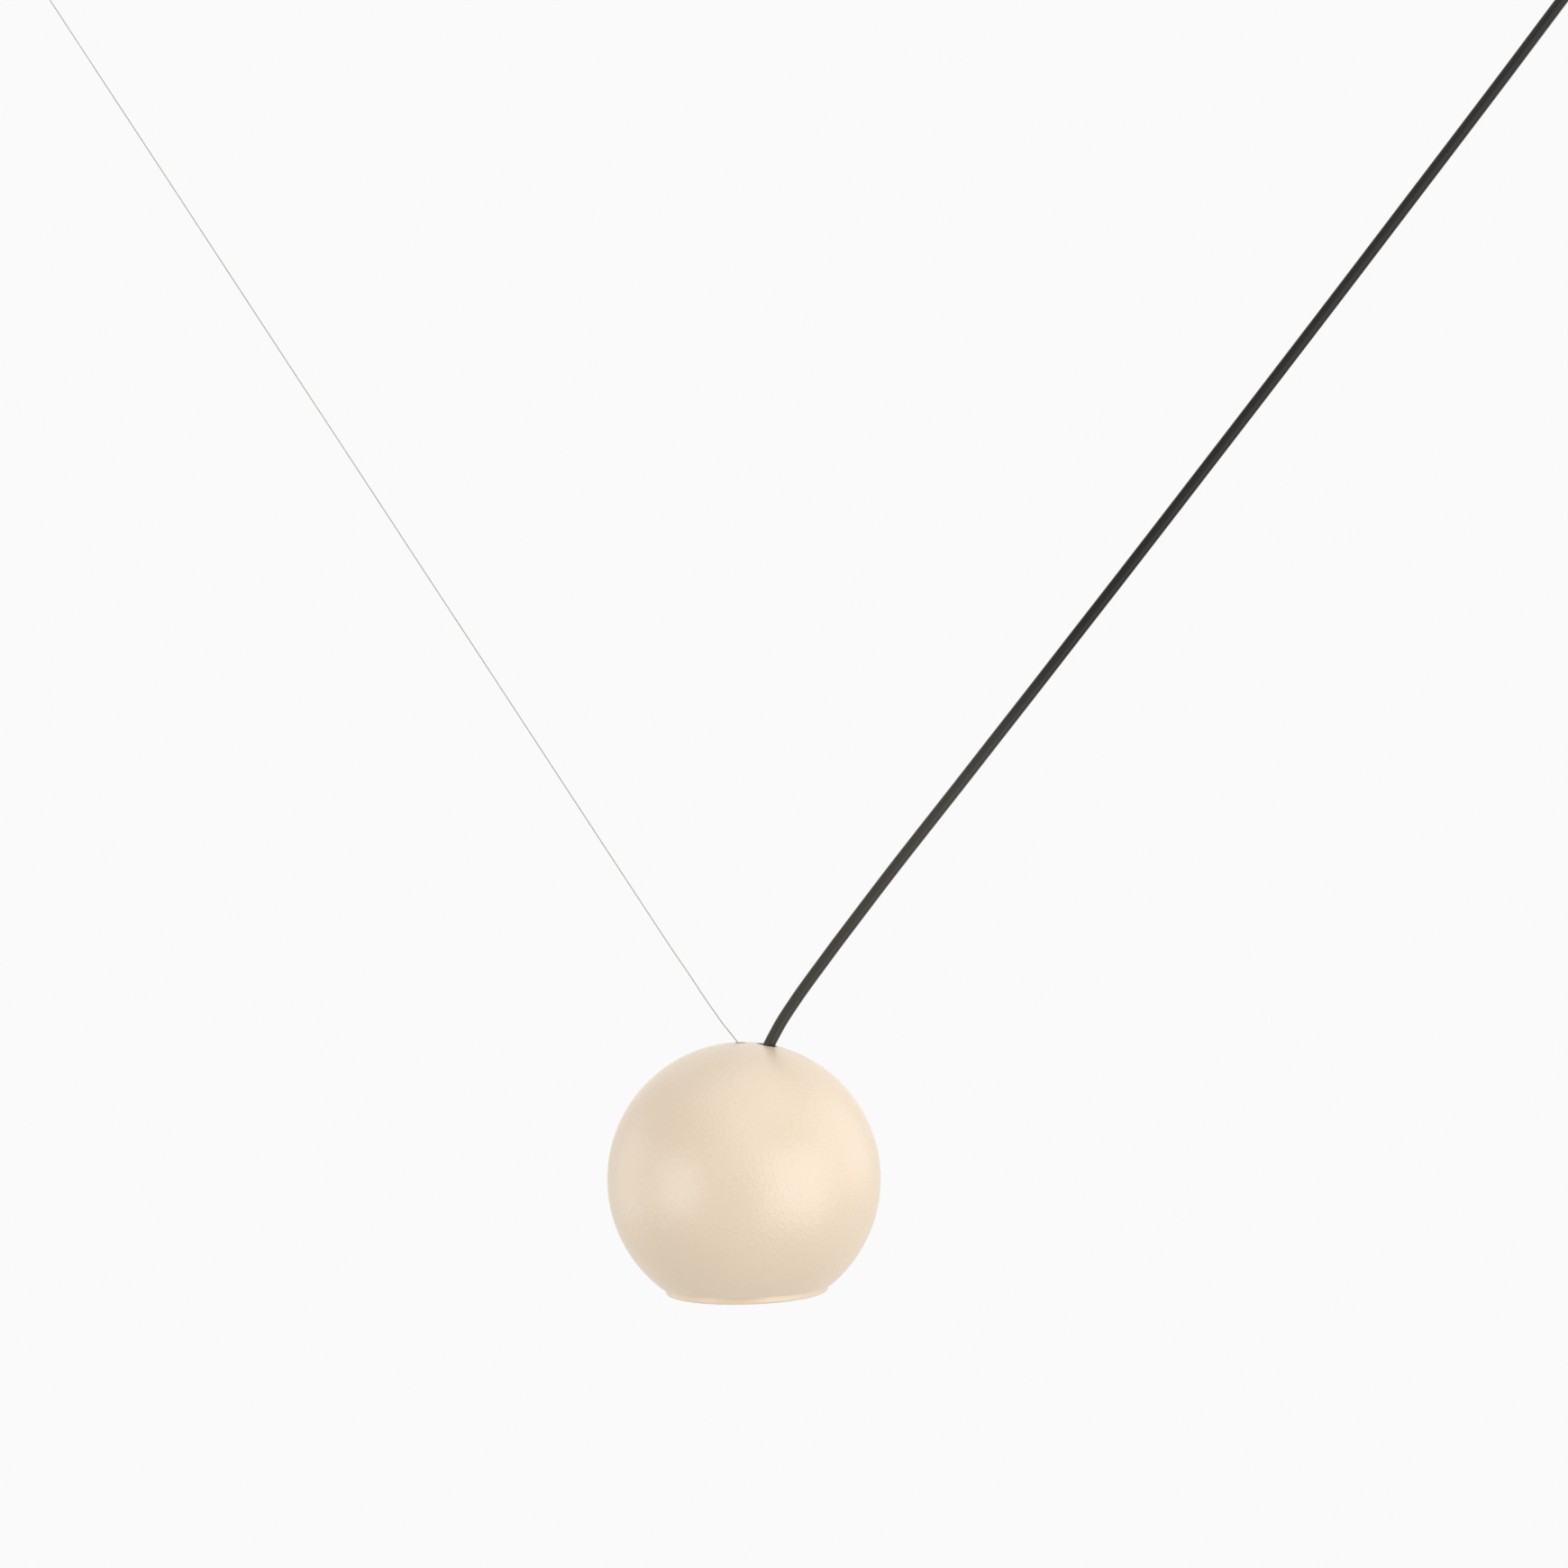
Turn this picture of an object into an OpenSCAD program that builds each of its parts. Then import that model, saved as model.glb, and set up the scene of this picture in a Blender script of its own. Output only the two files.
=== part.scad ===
// Ball pendant lamp that hangs from a cable on one side and a steel wire on the other.
// The origin is the middle of the rose bracket on the ceiling, +Z is up, +X runs from the wire
// anchor to the rose, and both lines hang in the XZ plane. All lengths are in millimetres.

/* [Installation] */
// Height from the two ceiling swivels down to the middle of the ball
drop = 650; // [500:1:900]
// Distance from the rose axis to the lamp axis
rose_span = 480; // [300:1:700]
// Distance from the lamp axis to the wire anchor axis
anchor_span = 359; // [200:1:600]
// Depth of both swivel centres below the ceiling
swivel_depth = 26; // [24:0.5:32]
// Lean of the cable from the vertical in its swivel
cable_lean = 38.5; // [20:0.5:42]
// Lean of the wire from the vertical in its gripper
wire_lean = 31.5; // [20:0.5:36]

/* [Cords] */
// Radius of the round power cable
cable_r = 3; // [2.5:0.1:3.3]
// Radius of the steel suspension wire
wire_r = 0.3; // [0.25:0.05:0.4]
// Radius of one insulated core
core_r = 0.9; // [0.6:0.1:1.1]
// Radius of one light-source lead
lead_r = 0.7; // [0.5:0.1:0.9]

/* [Ball shell] */
// Outer radius of the ball
ball_r = 70; // [66:0.5:90]
// Wall of the spun ball
ball_wall = 1.5; // [1:0.1:2.5]
// Inner radius of the round opening at the bottom
opening_r = 42; // [40:0.5:46]
// Radius of the wire hole at the crown
wire_hole_r = 3; // [2.6:0.1:4]
// Radius of the cable hole beside the crown
cable_hole_r = 5.3; // [5.1:0.1:6.5]
// Distance of the cable hole from the lamp axis
cable_hole_x = 13.6; // [13:0.1:14.4]

/* [Crown] */
// Depth of the rocking axis below the top of the ball
nod_depth = 5; // [4.8:0.1:6]
// Distance of the wire nipple from the lamp axis
nipple_x = 2.6; // [2:0.1:3]
// Radius of the crimped ball nipple on the wire
nipple_r = 2; // [1.8:0.1:2.2]
// Radius of the turned seat for the nipple
seat_r = 4; // [3.6:0.1:4.2]
// Height of the seat above the rocking axis
seat_rise = 2.9; // [2.4:0.1:3]
// Radius of the crown boss
boss_r = 29; // [28:0.5:34]
// Depth of the boss underside below the rocking axis
boss_drop = 5; // [4.5:0.1:7]
// Radius of the cable hole in the boss
boss_hole_r = 5.5; // [5.2:0.1:5.8]
// Distance of the boss cable hole from the lamp axis
boss_hole_x = 13.2; // [13:0.1:13.6]

/* [Cord grip] */
// Distance of the cord grip from the lamp axis
grip_x = 10.3; // [10:0.1:10.6]
// Radius of the cord grip barrel
grip_r = 6; // [5.5:0.1:7]
// Length of the cord grip below the boss
grip_length = 18; // [14:0.5:20]
// Width of the grip flange across the screws
grip_flange_y = 26; // [24:0.5:32]
// Width of the grip flange along X
grip_flange_x = 14; // [13:0.5:18]
// Thickness of the grip flange
grip_flange_t = 3; // [2:0.1:4]
// Distance of each flange screw from the middle
grip_screw_y = 9.5; // [9:0.1:10]
// Depth of the flared mouth of the grip
grip_flare = 6.3; // [5:0.1:7]
// Radius of that mouth
grip_flare_r = 4.6; // [4.4:0.1:4.8]
// Distance of that mouth from the grip axis
grip_flare_x = 0.5; // [0.3:0.1:0.8]

/* [Tie rods and tray] */
// Radius of the circle of tie rods
rod_circle_r = 24; // [23:0.1:25]
// Radius of a tie rod
rod_r = 3; // [2.5:0.1:3.4]
// Radius of the stud on top of a tie rod
rod_stud_r = 2; // [1.5:0.1:2.2]
// Length of that stud
rod_stud_length = 3; // [2:0.1:3.4]
// Depth of the tray underside below the rocking axis
tray_drop = 60; // [58:0.5:62]
// Thickness of the tray
tray_t = 1.5; // [1:0.1:2.5]
// Size of a tray nut from corner to corner, halved
nut_r = 5; // [4.6:0.1:5]
// Thickness of a tray nut
nut_t = 3; // [2:0.1:4]

/* [Driver and terminal] */
// Length of the driver along X
driver_x = 34; // [28:0.5:34]
// Width of the driver along Y
driver_y = 30; // [26:0.5:30]
// Height of the driver housing
driver_z = 22; // [18:0.5:23]
// Height of the driver lid
driver_lid = 6; // [4:0.5:8]
// Step from the driver housing to its lid
driver_step = 0.6; // [0.3:0.1:1]
// Distance of each driver screw from the middle
driver_screw_x = 10; // [8:0.5:12]
// Distance of the terminal block middle from the lamp axis
block_x = 29; // [28.5:0.1:30]
// Length of a terminal block along X
block_length = 16; // [14:0.5:17]
// Pitch of the three poles of a terminal block
pole_pitch = 8; // [7:0.1:8.5]
// Height of a terminal block
block_height = 14; // [12:0.5:16]
// Height of the terminal block base under its towers
block_base = 9; // [8:0.5:10]
// Length of a terminal tower along X
tower_length = 11; // [9:0.5:12]
// Width of a terminal tower along Y
tower_width = 6; // [5:0.1:6.4]

/* [Heat sink] */
// Thickness of the heat sink base
sink_base = 6; // [5:0.5:8]
// Height of the fins
fin_height = 14; // [8:0.5:20]
// Thickness of a fin
fin_t = 1.6; // [1:0.1:2.4]
// Number of fins
fin_count = 24; // [12:1:36]
// Inner radius of the ring of fins
fin_inner_r = 29; // [28.5:0.5:33]
// Distance of the lead hole from the lamp axis along X
lead_hole_x = 5; // [2:0.5:7]
// Distance of the lead hole from the lamp axis along Y
lead_hole_y = 21.4; // [21:0.1:22]
// Radius of the lead hole
lead_hole_r = 2.8; // [2.4:0.1:3]

/* [Light source] */
// Radius of the light-source board
board_r = 12; // [10:0.5:12.5]
// Thickness of the light-source board
board_t = 1.6; // [1:0.1:2]
// Radius of the phosphor disc
chip_r = 7.5; // [5:0.5:8]
// Thickness of the phosphor disc
chip_t = 0.6; // [0.3:0.1:1]
// Outer radius of the holder
holder_r = 19; // [18.5:0.1:19.4]
// Inner radius of the holder below the board
holder_in_r = 9; // [8.5:0.1:9.5]
// Height of the holder
holder_height = 4.5; // [4:0.1:6]
// Distance of each holder screw from the lamp axis
holder_screw_x = 15.6; // [15.4:0.1:16]
// Outer radius of the reflector at its neck flange
neck_r = 12.5; // [11.5:0.1:14]
// Wall of the spun reflector
reflector_t = 0.8; // [0.5:0.1:1.2]

/* [Light ring] */
// Height of the ring that shows below the ball
bezel_drop = 3.9; // [2.5:0.1:6]
// Whole height of the bezel ring
bezel_height = 13; // [11.5:0.1:15]
// Wall of the bezel ring
bezel_wall = 2; // [1.5:0.1:2.2]
// Rounding of the lower outer edge of the ring
bezel_round = 1; // [0.4:0.1:1.2]
// Width of the lip that carries the diffuser
lip_width = 2.2; // [1.6:0.1:3]
// Thickness of that lip
lip_t = 1.5; // [1:0.1:2]
// Thickness of the diffuser
diffuser_t = 2.5; // [1.5:0.1:3]
// Thickness of the gasket
gasket_t = 1.2; // [0.8:0.1:1.5]
// Wall of the collar
collar_wall = 2; // [1.6:0.1:2.4]
// Height of the collar
collar_height = 18.5; // [17:0.1:24]
// Thickness of the collar flange
flange_t = 2; // [1.5:0.1:3]
// Inner radius of the collar flange
flange_in_r = 29; // [28:0.5:31]
// Radius of the circle of collar screws
collar_screw_r = 33.6; // [33:0.1:34]
// Turn of the ring from locked to free
twist = 20; // [14:1:30]
// Half the width of a bayonet lug, as an angle
lug_half = 4; // [3:0.5:6]
// Height of a bayonet lug
lug_height = 2.4; // [1.8:0.1:3]
// Distance of the lugs below the top of the ring
lug_drop = 1.6; // [1.2:0.1:2.4]

/* [Ceiling rose] */
// Outer radius of the cup
cup_r = 52; // [50:0.5:60]
// Height of the cup
cup_height = 28; // [27.2:0.1:29]
// Wall of the cup
cup_wall = 1.2; // [0.8:0.1:1.6]
// Outer rounding of the cup floor
cup_round = 5; // [2:0.5:8]
// Radius of the bracket plate
plate_r = 44; // [42:0.5:46]
// Thickness of the bracket plate
plate_t = 1.5; // [1.2:0.1:2.5]
// Distance between the two ceiling screws
ceiling_screw_pitch = 60; // [54:1:70]
// Radius of a ceiling screw hole
ceiling_hole_r = 2.5; // [2:0.1:3]
// Half the width of a bracket tab
tab_half = 8; // [6:0.5:10]
// Length of a bracket tab below the plate
tab_length = 14; // [12:0.5:16]
// Depth of the cup screws below the ceiling
cup_screw_depth = 9; // [8:0.5:10]
// Radius of a cup screw
cup_screw_r = 2; // [1.5:0.1:2.4]
// Radius of a cup screw head
cup_head_r = 3.6; // [3:0.1:4.5]
// Height of a cup screw head
cup_head_t = 2; // [1.4:0.1:3]
// Distance of the supply terminal middle from the rose axis
supply_x = 30; // [28.5:0.5:33]
// Radius of the entry hole for the supply wires
entry_hole_r = 9; // [7:0.5:10]
// Distance of that hole from the rose axis
entry_hole_x = 26; // [25:0.5:30]

/* [Rose swivel] */
// Radius of the swivel ball
swivel_r = 11; // [10:0.1:12]
// Wall of the swivel seat around the ball
seat_wall = 2.2; // [1.6:0.1:3]
// Depth of the seat mouth below the swivel centre
mouth_drop = 4.5; // [4:0.1:5]
// Height of the seat neck above the swivel centre
neck_rise = 6; // [5:0.1:8]
// Width of the seat flange beyond its neck
seat_flange = 3.5; // [2.5:0.1:5]
// Thickness of the seat nut
seat_nut_t = 4; // [3:0.1:5]
// Size of the seat nut beyond the neck, corner to corner, halved
seat_nut_rim = 5.5; // [4.5:0.1:7]
// Height of the flat on the swivel ball above its centre
swivel_flat = 9; // [8:0.1:9.5]
// Radius of the grub screw that holds the cable
grub_r = 2; // [1.5:0.1:2.5]
// Length of the grub screw
grub_length = 6; // [5:0.1:6.4]
// Length of cable that stands above the swivel centre
cable_tail_up = 13; // [10:0.5:14]

/* [Wire anchor] */
// Outer radius of the anchor
anchor_r = 12; // [11.4:0.1:15]
// Height of the anchor base
base_height = 9; // [8:0.5:10]
// Radius of the base spigot that the cap screws on
spigot_r = 9; // [8.5:0.1:9.6]
// Length of that spigot
spigot_length = 6; // [4:0.5:6.5]
// Radius of the blind screw hole in the base
stud_hole_r = 2.1; // [1.6:0.1:3]
// Depth of that hole
stud_hole_depth = 11; // [8:0.5:12]
// Radius of the ball on the gripper
grip_ball_r = 7; // [6.8:0.1:7.4]
// Depth of the narrow mouth of the cap below the swivel centre
cap_mouth = 2.8; // [2.6:0.1:3]
// Height of the flared lip below that mouth
cap_lip = 1.4; // [1:0.1:1.6]
// Widening of the flared lip
cap_flare = 1.3; // [1:0.1:2]

/* [Wire gripper] */
// Radius of the neck below the ball
neck_bar_r = 2.6; // [2.3:0.1:2.7]
// Distance from the swivel centre to the barrel
barrel_start = 11.5; // [11.2:0.1:14]
// Length of the barrel
barrel_length = 20; // [19:0.5:26]
// Radius of the barrel
barrel_r = 4.5; // [4.2:0.1:5]
// Wall of the barrel around the spring
barrel_wall = 1.5; // [1.2:0.1:1.7]
// Length of the plug of the neck inside the barrel
plug_length = 2; // [1.5:0.1:3]
// Radius of the plunger
plunger_r = 1.7; // [1.6:0.05:1.8]
// Travel of the plunger
plunger_travel = 2; // [1:0.1:2.4]
// Length of plunger that stands out of the barrel
plunger_out = 4.5; // [3:0.1:6]
// Radius of the flange on the plunger
plunger_flange_r = 2.3; // [2.2:0.05:2.4]
// Thickness of that flange
plunger_flange_t = 1.5; // [1:0.1:2]
// Radius of a clamping ball
clamp_ball_r = 0.8; // [0.7:0.05:0.85]
// Distance from the end of the barrel to the clamping balls
clamp_back = 6.5; // [6:0.1:7]
// Half angle of the clamping cone
cone_angle = 6; // [4:0.5:7]
// Length of the guide hole at the end of the barrel
guide_length = 4; // [3:0.1:4.4]
// Radius of the spring wire
spring_wire_r = 0.25; // [0.15:0.05:0.3]
// Number of turns of the spring
spring_turns = 6; // [4:1:8]

/* [Screws] */
// Radius of the small machine screws
screw_r = 1.5; // [1.25:0.05:1.6]
// Radius of their heads
head_r = 2.7; // [2.2:0.1:2.9]
// Height of their heads
head_t = 2; // [1.4:0.1:2.4]
// Length of thread that a small screw has in its hole
thread_length = 5; // [3:0.1:5.4]

/* [Clearances] */
// Gap between the ring and the ball opening
bezel_gap = 0.3; // [0.2:0.05:0.6]
// Gap between the ring and the collar inside it
collar_gap = 0.4; // [0.3:0.05:0.6]
// Running gap between pieces that turn or slide past each other
run_gap = 0.3; // [0.2:0.05:0.4]
// Gap around a screw, pin or cord in its hole
fit_gap = 0.05; // [0.02:0.01:0.1]
// Gap around a screw that passes through a plate
pass_gap = 0.15; // [0.1:0.05:0.3]
// Gap between the crown boss and the inside of the ball
boss_gap = 0.2; // [0.1:0.05:0.4]
// Gap that lets a plate pass through the ball opening
entry_gap = 1.2; // [0.8:0.1:2]
// Gap around a bayonet lug in its slot, as an angle
slot_gap = 1; // [0.6:0.1:1.5]

/* [Hidden] */
$fn = 48;

// Places of the swivels, the anchor and the lamp
swivel_z = -swivel_depth;
lamp_x = -rose_span;
lamp_z = swivel_z - drop;
anchor_x = lamp_x - anchor_span;

// Route of the power cable from its upper end in the rose to the crown of the ball, as X and Z
CABLE_ROUTE = [
    [8.1, -15.8], [0, -26], [-9.5, -38], [-19.1, -50], [-36.5, -72], [-57.1, -98],
    [-79.3, -126], [-103.3, -156], [-129, -188], [-154.7, -220], [-180.5, -252],
    [-206.4, -284], [-232.4, -316], [-256.8, -346], [-281.3, -376], [-304.3, -404],
    [-325.6, -430], [-345.4, -454], [-363.5, -476], [-380.1, -496], [-395, -514],
    [-408, -530], [-419.2, -544], [-428.8, -556], [-436.6, -566], [-443.6, -575],
    [-448.9, -582], [-453.2, -588], [-456.7, -593], [-459.6, -597.5], [-461.9, -601.5],
    [-463.9, -605], [-465.5, -608], [-466.8, -610.6]
];

// Route of the suspension wire from inside the gripper to the nipple, as X and Z
WIRE_ROUTE = [
    [-836.4, -30.3], [-818.2, -60], [-790, -106], [-759.3, -156], [-728.7, -206],
    [-698.1, -256], [-667.4, -306], [-636.8, -356], [-606.1, -406], [-575.5, -456],
    [-544.9, -506], [-523.4, -541], [-512.9, -558], [-505.4, -569.7], [-498.1, -581.5],
    [-490.5, -593.2], [-486.4, -598.9], [-481.6, -605.3], [-477.4, -611]
];

// Route of the cable inside the ball, as X from the lamp axis and Z from the rocking axis
TAIL_ROUTE = [
    [12.9, -0.3], [11.9, -2.6], [11.1, -5], [10.6, -7.4], [10.4, -9.5], [10.3, -12],
    [10.3, -17], [10.3, -23], [10.3, -29]
];

CABLE_SIDES = 10;
THIN_SIDES = 8;
FINE = 192;
SPRING_STEPS = 12;
EPS = 0.01;

// Levels of the ball and of the light unit, from the middle of the ball
inner_r = ball_r - ball_wall;
cut_z = -sqrt(inner_r * inner_r - opening_r * opening_r);
nod_z = ball_r - nod_depth;
boss_z = nod_z - boss_drop;
grip_clamp_z = -(grip_flare + grip_length) / 2;
core_pitch = 2 * (core_r + fit_gap);
bezel_z = cut_z - bezel_drop;
bezel_top = bezel_z + bezel_height;
lip_top = bezel_z + lip_t;
diffuser_top = lip_top + diffuser_t;
gasket_top = diffuser_top + gasket_t;
collar_z = gasket_top + run_gap;
sink_z = collar_z + collar_height;
sink_top = sink_z + sink_base;
tray_z = nod_z - tray_drop;
tray_top = tray_z + tray_t;
driver_top = tray_top + driver_z;
holder_z = sink_z - holder_height;

// Radii of the light unit
bezel_r = opening_r - bezel_gap;
bezel_in_r = bezel_r - bezel_wall;
collar_r = bezel_in_r - collar_gap;
collar_in_r = collar_r - collar_wall;
lip_r = bezel_in_r - lip_width;
diffuser_r = bezel_in_r - run_gap;
sink_r = opening_r - entry_gap;
tray_r = opening_r - entry_gap;
lug_in_r = collar_in_r + fit_gap;

// Bayonet heights
lug_top = bezel_top - lug_drop;
lug_z = lug_top - lug_height;

// Rose
cup_in_r = cup_r - cup_wall;
cup_z = -cup_height;
cup_floor = cup_z + cup_wall;
tab_y = sqrt(cup_in_r * cup_in_r - tab_half * tab_half) - run_gap;
seat_bore_r = swivel_r + run_gap;
seat_neck_r = seat_bore_r + seat_wall;
mouth_r = sqrt(seat_bore_r * seat_bore_r - mouth_drop * mouth_drop);

// Wire anchor and gripper, along the wire from the swivel centre
cap_bore_r = grip_ball_r + run_gap;
cap_mouth_r = sqrt(cap_bore_r * cap_bore_r - cap_mouth * cap_mouth);
cap_z = swivel_z - cap_mouth - cap_lip;
barrel_end = barrel_start + barrel_length;
chamber_r = barrel_r - barrel_wall;
clamp_at = barrel_end - clamp_back;
clamp_ring_r = wire_r + clamp_ball_r + fit_gap;
cone_r = clamp_ring_r + clamp_ball_r / cos(cone_angle) + fit_gap;
guide_r = plunger_r + run_gap / 2;
wire_bore_r = wire_r + run_gap;
cone_length = chamber_r > cone_r ? (chamber_r - cone_r) / tan(cone_angle) : 0;
flange_at = clamp_at - (plunger_flange_r + run_gap / 2 - cone_r) / tan(cone_angle);
plunger_top = flange_at - plunger_flange_t;
spring_start = barrel_start + plug_length;
spring_r = plunger_flange_r - spring_wire_r;

// Angles of the tie rods and of the screws between them
rod_angles = [0, 120, 240];
screw_angles = [60, 180, 300];
lug_angles = [30, 150, 270];

function unit(v) = v / norm(v);
function flat(p) = [p.x, 0, p.y];
function heading(path, i) =
    unit(path[min(i + 1, len(path) - 1)] - path[max(i - 1, 0)]);
function side_of(t) = unit(cross([0, 1, 0], t));
function ring(c, t, s, r, n) =
    [for (k = [0:n - 1]) c + r * (cos(360 * k / n) * s + sin(360 * k / n) * cross(t, s))];

// A round tube along a path; sides gives each ring's first spoke where the path twists
module tube(path, r, n, sides = undef) {
    turns = [for (i = [0:len(path) - 1]) heading(path, i)];
    spokes = is_undef(sides) ? [for (t = turns) side_of(t)]
                             : [for (i = [0:len(path) - 1])
                                   unit(sides[i] - (sides[i] * turns[i]) * turns[i])];
    last = n * (len(path) - 1);
    polyhedron(
        points = [for (i = [0:len(path) - 1]) each ring(path[i], turns[i], spokes[i], r, n)],
        faces = concat(
            [for (k = [1:n - 2]) [0, k, k + 1]],
            [for (k = [1:n - 2]) [last, last + k + 1, last + k]],
            [for (i = [0:len(path) - 2], k = [0:n - 1])
                [i * n + k, (i + 1) * n + k, (i + 1) * n + (k + 1) % n]],
            [for (i = [0:len(path) - 2], k = [0:n - 1])
                [i * n + k, (i + 1) * n + (k + 1) % n, i * n + (k + 1) % n]]
        )
    );
}

module at_lamp() { translate([lamp_x, 0, lamp_z]) children(); }
module along_cable() { translate([0, 0, swivel_z]) rotate([0, cable_lean, 0]) children(); }
module along_wire() { translate([anchor_x, 0, swivel_z]) rotate([0, 180 - wire_lean, 0]) children(); }
module around(angles, r) { for (a = angles) rotate(a) translate([r, 0, 0]) children(); }

// A pan-head screw that points up from its seat, with its head below
module screw(r, length, cap_r, cap_t) {
    cylinder(r = r, h = length);
    translate([0, 0, -cap_t]) cylinder(r = cap_r, h = cap_t);
}

// A rectangular block that stands on its base at the origin
module block(x, y, z) { translate([-x / 2, -y / 2, 0]) cube([x, y, z]); }

// A three-pole screw terminal block that stands on the origin
module terminal() {
    difference() {
        union() {
            block(block_length, 3 * pole_pitch, block_base);
            for (k = [-1:1]) translate([0, k * pole_pitch, 0]) block(tower_length, tower_width, block_height);
        }
        for (k = [-1:1]) translate([0, k * pole_pitch, block_base]) cylinder(r = screw_r, h = block_height);
        translate([0, 0, -EPS]) cylinder(r = screw_r + fit_gap, h = thread_length + EPS);
    }
}

// Ceiling rose
module rose_bracket() {
    color("gainsboro") difference() {
        union() {
            translate([0, 0, -plate_t]) cylinder(r = plate_r, h = plate_t);
            translate([-tab_half, -tab_y, -plate_t]) cube([2 * tab_half, 2 * tab_y, plate_t]);
            for (side = [-1, 1]) translate([0, side * (tab_y - plate_t / 2), -plate_t - tab_length])
                block(2 * tab_half, plate_t, plate_t + tab_length);
        }
        for (side = [-1, 1]) {
            translate([0, side * ceiling_screw_pitch / 2, -2 * plate_t])
                cylinder(r = ceiling_hole_r, h = 3 * plate_t);
            translate([0, side * tab_y, -cup_screw_depth]) rotate([90, 0, 0])
                cylinder(r = cup_screw_r + fit_gap, h = 4 * plate_t, center = true);
        }
        translate([supply_x, 0, -2 * plate_t]) cylinder(r = screw_r + pass_gap, h = 3 * plate_t);
        translate([-entry_hole_x, 0, -2 * plate_t]) cylinder(r = entry_hole_r, h = 3 * plate_t);
    }
}

module rose_cup() {
    color("wheat") difference() {
        rotate_extrude() difference() {
            union() {
                translate([0, cup_z + cup_round]) square([cup_r, cup_height - cup_round - run_gap]);
                translate([0, cup_z]) square([cup_r - cup_round, cup_round]);
                translate([cup_r - cup_round, cup_z + cup_round]) intersection() {
                    circle(r = cup_round);
                    translate([0, -cup_round]) square(cup_round);
                }
            }
            translate([0, cup_z + cup_round]) square([cup_in_r, cup_height]);
            translate([0, cup_floor]) square([cup_r - cup_round, cup_height]);
            translate([cup_r - cup_round, cup_z + cup_round]) intersection() {
                circle(r = cup_round - cup_wall);
                translate([0, -cup_round]) square(cup_round);
            }
        }
        translate([0, 0, cup_z - cup_wall]) cylinder(r = seat_neck_r + fit_gap, h = 3 * cup_wall);
        for (side = [-1, 1]) translate([0, side * cup_r, -cup_screw_depth]) rotate([90, 0, 0])
            cylinder(r = cup_screw_r + pass_gap, h = 6 * cup_wall, center = true);
    }
}

module cup_screws() {
    color("silver") for (side = [-1, 1]) rotate(side * 90) translate([cup_r, 0, -cup_screw_depth])
        rotate([0, -90, 0]) screw(cup_screw_r, cup_r - tab_y + 2 * plate_t, cup_head_r, cup_head_t);
}

module swivel_seat() {
    color("wheat") difference() {
        union() {
            translate([0, 0, cup_z]) cylinder(r = seat_neck_r, h = swivel_z + neck_rise - cup_z);
            translate([0, 0, swivel_z - mouth_drop])
                cylinder(r = seat_neck_r + seat_flange, h = cup_z - swivel_z + mouth_drop);
        }
        translate([0, 0, swivel_z]) sphere(r = seat_bore_r);
        translate([0, 0, swivel_z]) cylinder(r = seat_bore_r, h = 2 * neck_rise);
        translate([0, 0, swivel_z - 2 * mouth_drop]) cylinder(r = mouth_r, h = 2 * mouth_drop);
    }
}

module seat_nut() {
    color("silver") translate([0, 0, cup_floor]) difference() {
        cylinder(r = seat_neck_r + seat_nut_rim, h = seat_nut_t, $fn = 6);
        translate([0, 0, -seat_nut_t]) cylinder(r = seat_neck_r + fit_gap, h = 3 * seat_nut_t);
    }
}

module supply_terminal() {
    color("ivory") translate([supply_x, 0, -plate_t]) mirror([0, 0, 1]) terminal();
}

// Stripped cores from the upper end of the cable to the supply terminal
module supply_cores() {
    top = [cable_tail_up * sin(cable_lean), 0, swivel_z + cable_tail_up * cos(cable_lean)];
    block_side = supply_x - block_length / 2;
    entry_z = -plate_t - block_base / 2;
    along = [sin(cable_lean), 0, cos(cable_lean)];
    color("saddlebrown") for (k = [-1:1]) {
        start = top + fit_gap * along + [0, k * core_pitch, 0];
        finish = [block_side - fit_gap, k * pole_pitch, entry_z];
        tube([
            start,
            start + core_r * along,
            (start * 2 + finish) / 3 + [0, 0, core_r],
            (start + finish * 2) / 3 + [0, k * core_r, core_r],
            finish - [core_r, 0, 0],
            finish
        ], core_r, THIN_SIDES);
    }
}

// Wire anchor on the ceiling
module anchor_base() {
    color("silver") translate([anchor_x, 0, 0]) difference() {
        union() {
            translate([0, 0, -base_height]) cylinder(r = anchor_r, h = base_height);
            translate([0, 0, -base_height - spigot_length])
                cylinder(r = spigot_r, h = spigot_length + base_height);
        }
        translate([0, 0, -stud_hole_depth]) cylinder(r = stud_hole_r, h = stud_hole_depth + base_height);
    }
}

module anchor_cap() {
    lip_z = swivel_z - cap_mouth;
    color("silver") translate([anchor_x, 0, 0]) difference() {
        translate([0, 0, cap_z]) cylinder(r = anchor_r, h = -base_height - cap_z);
        translate([0, 0, -base_height - spigot_length]) cylinder(r = spigot_r + fit_gap, h = 2 * spigot_length);
        translate([0, 0, swivel_z]) cylinder(r = cap_bore_r, h = swivel_depth);
        translate([0, 0, swivel_z]) sphere(r = cap_bore_r);
        translate([0, 0, lip_z - EPS]) cylinder(r = cap_mouth_r, h = cap_mouth);
        translate([0, 0, cap_z - EPS])
            cylinder(r1 = cap_mouth_r + cap_flare, r2 = cap_mouth_r, h = cap_lip + EPS);
    }
}

// Swivel of the cable
module swivel_ball() {
    color("wheat") along_cable() difference() {
        intersection() {
            sphere(r = swivel_r);
            translate([0, 0, swivel_flat - 2 * swivel_r]) cylinder(r = 2 * swivel_r, h = 2 * swivel_r);
        }
        cylinder(r = cable_r + fit_gap, h = 4 * swivel_r, center = true);
        rotate([0, -90, 0]) cylinder(r = grub_r + fit_gap, h = 2 * swivel_r);
    }
}

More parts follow.
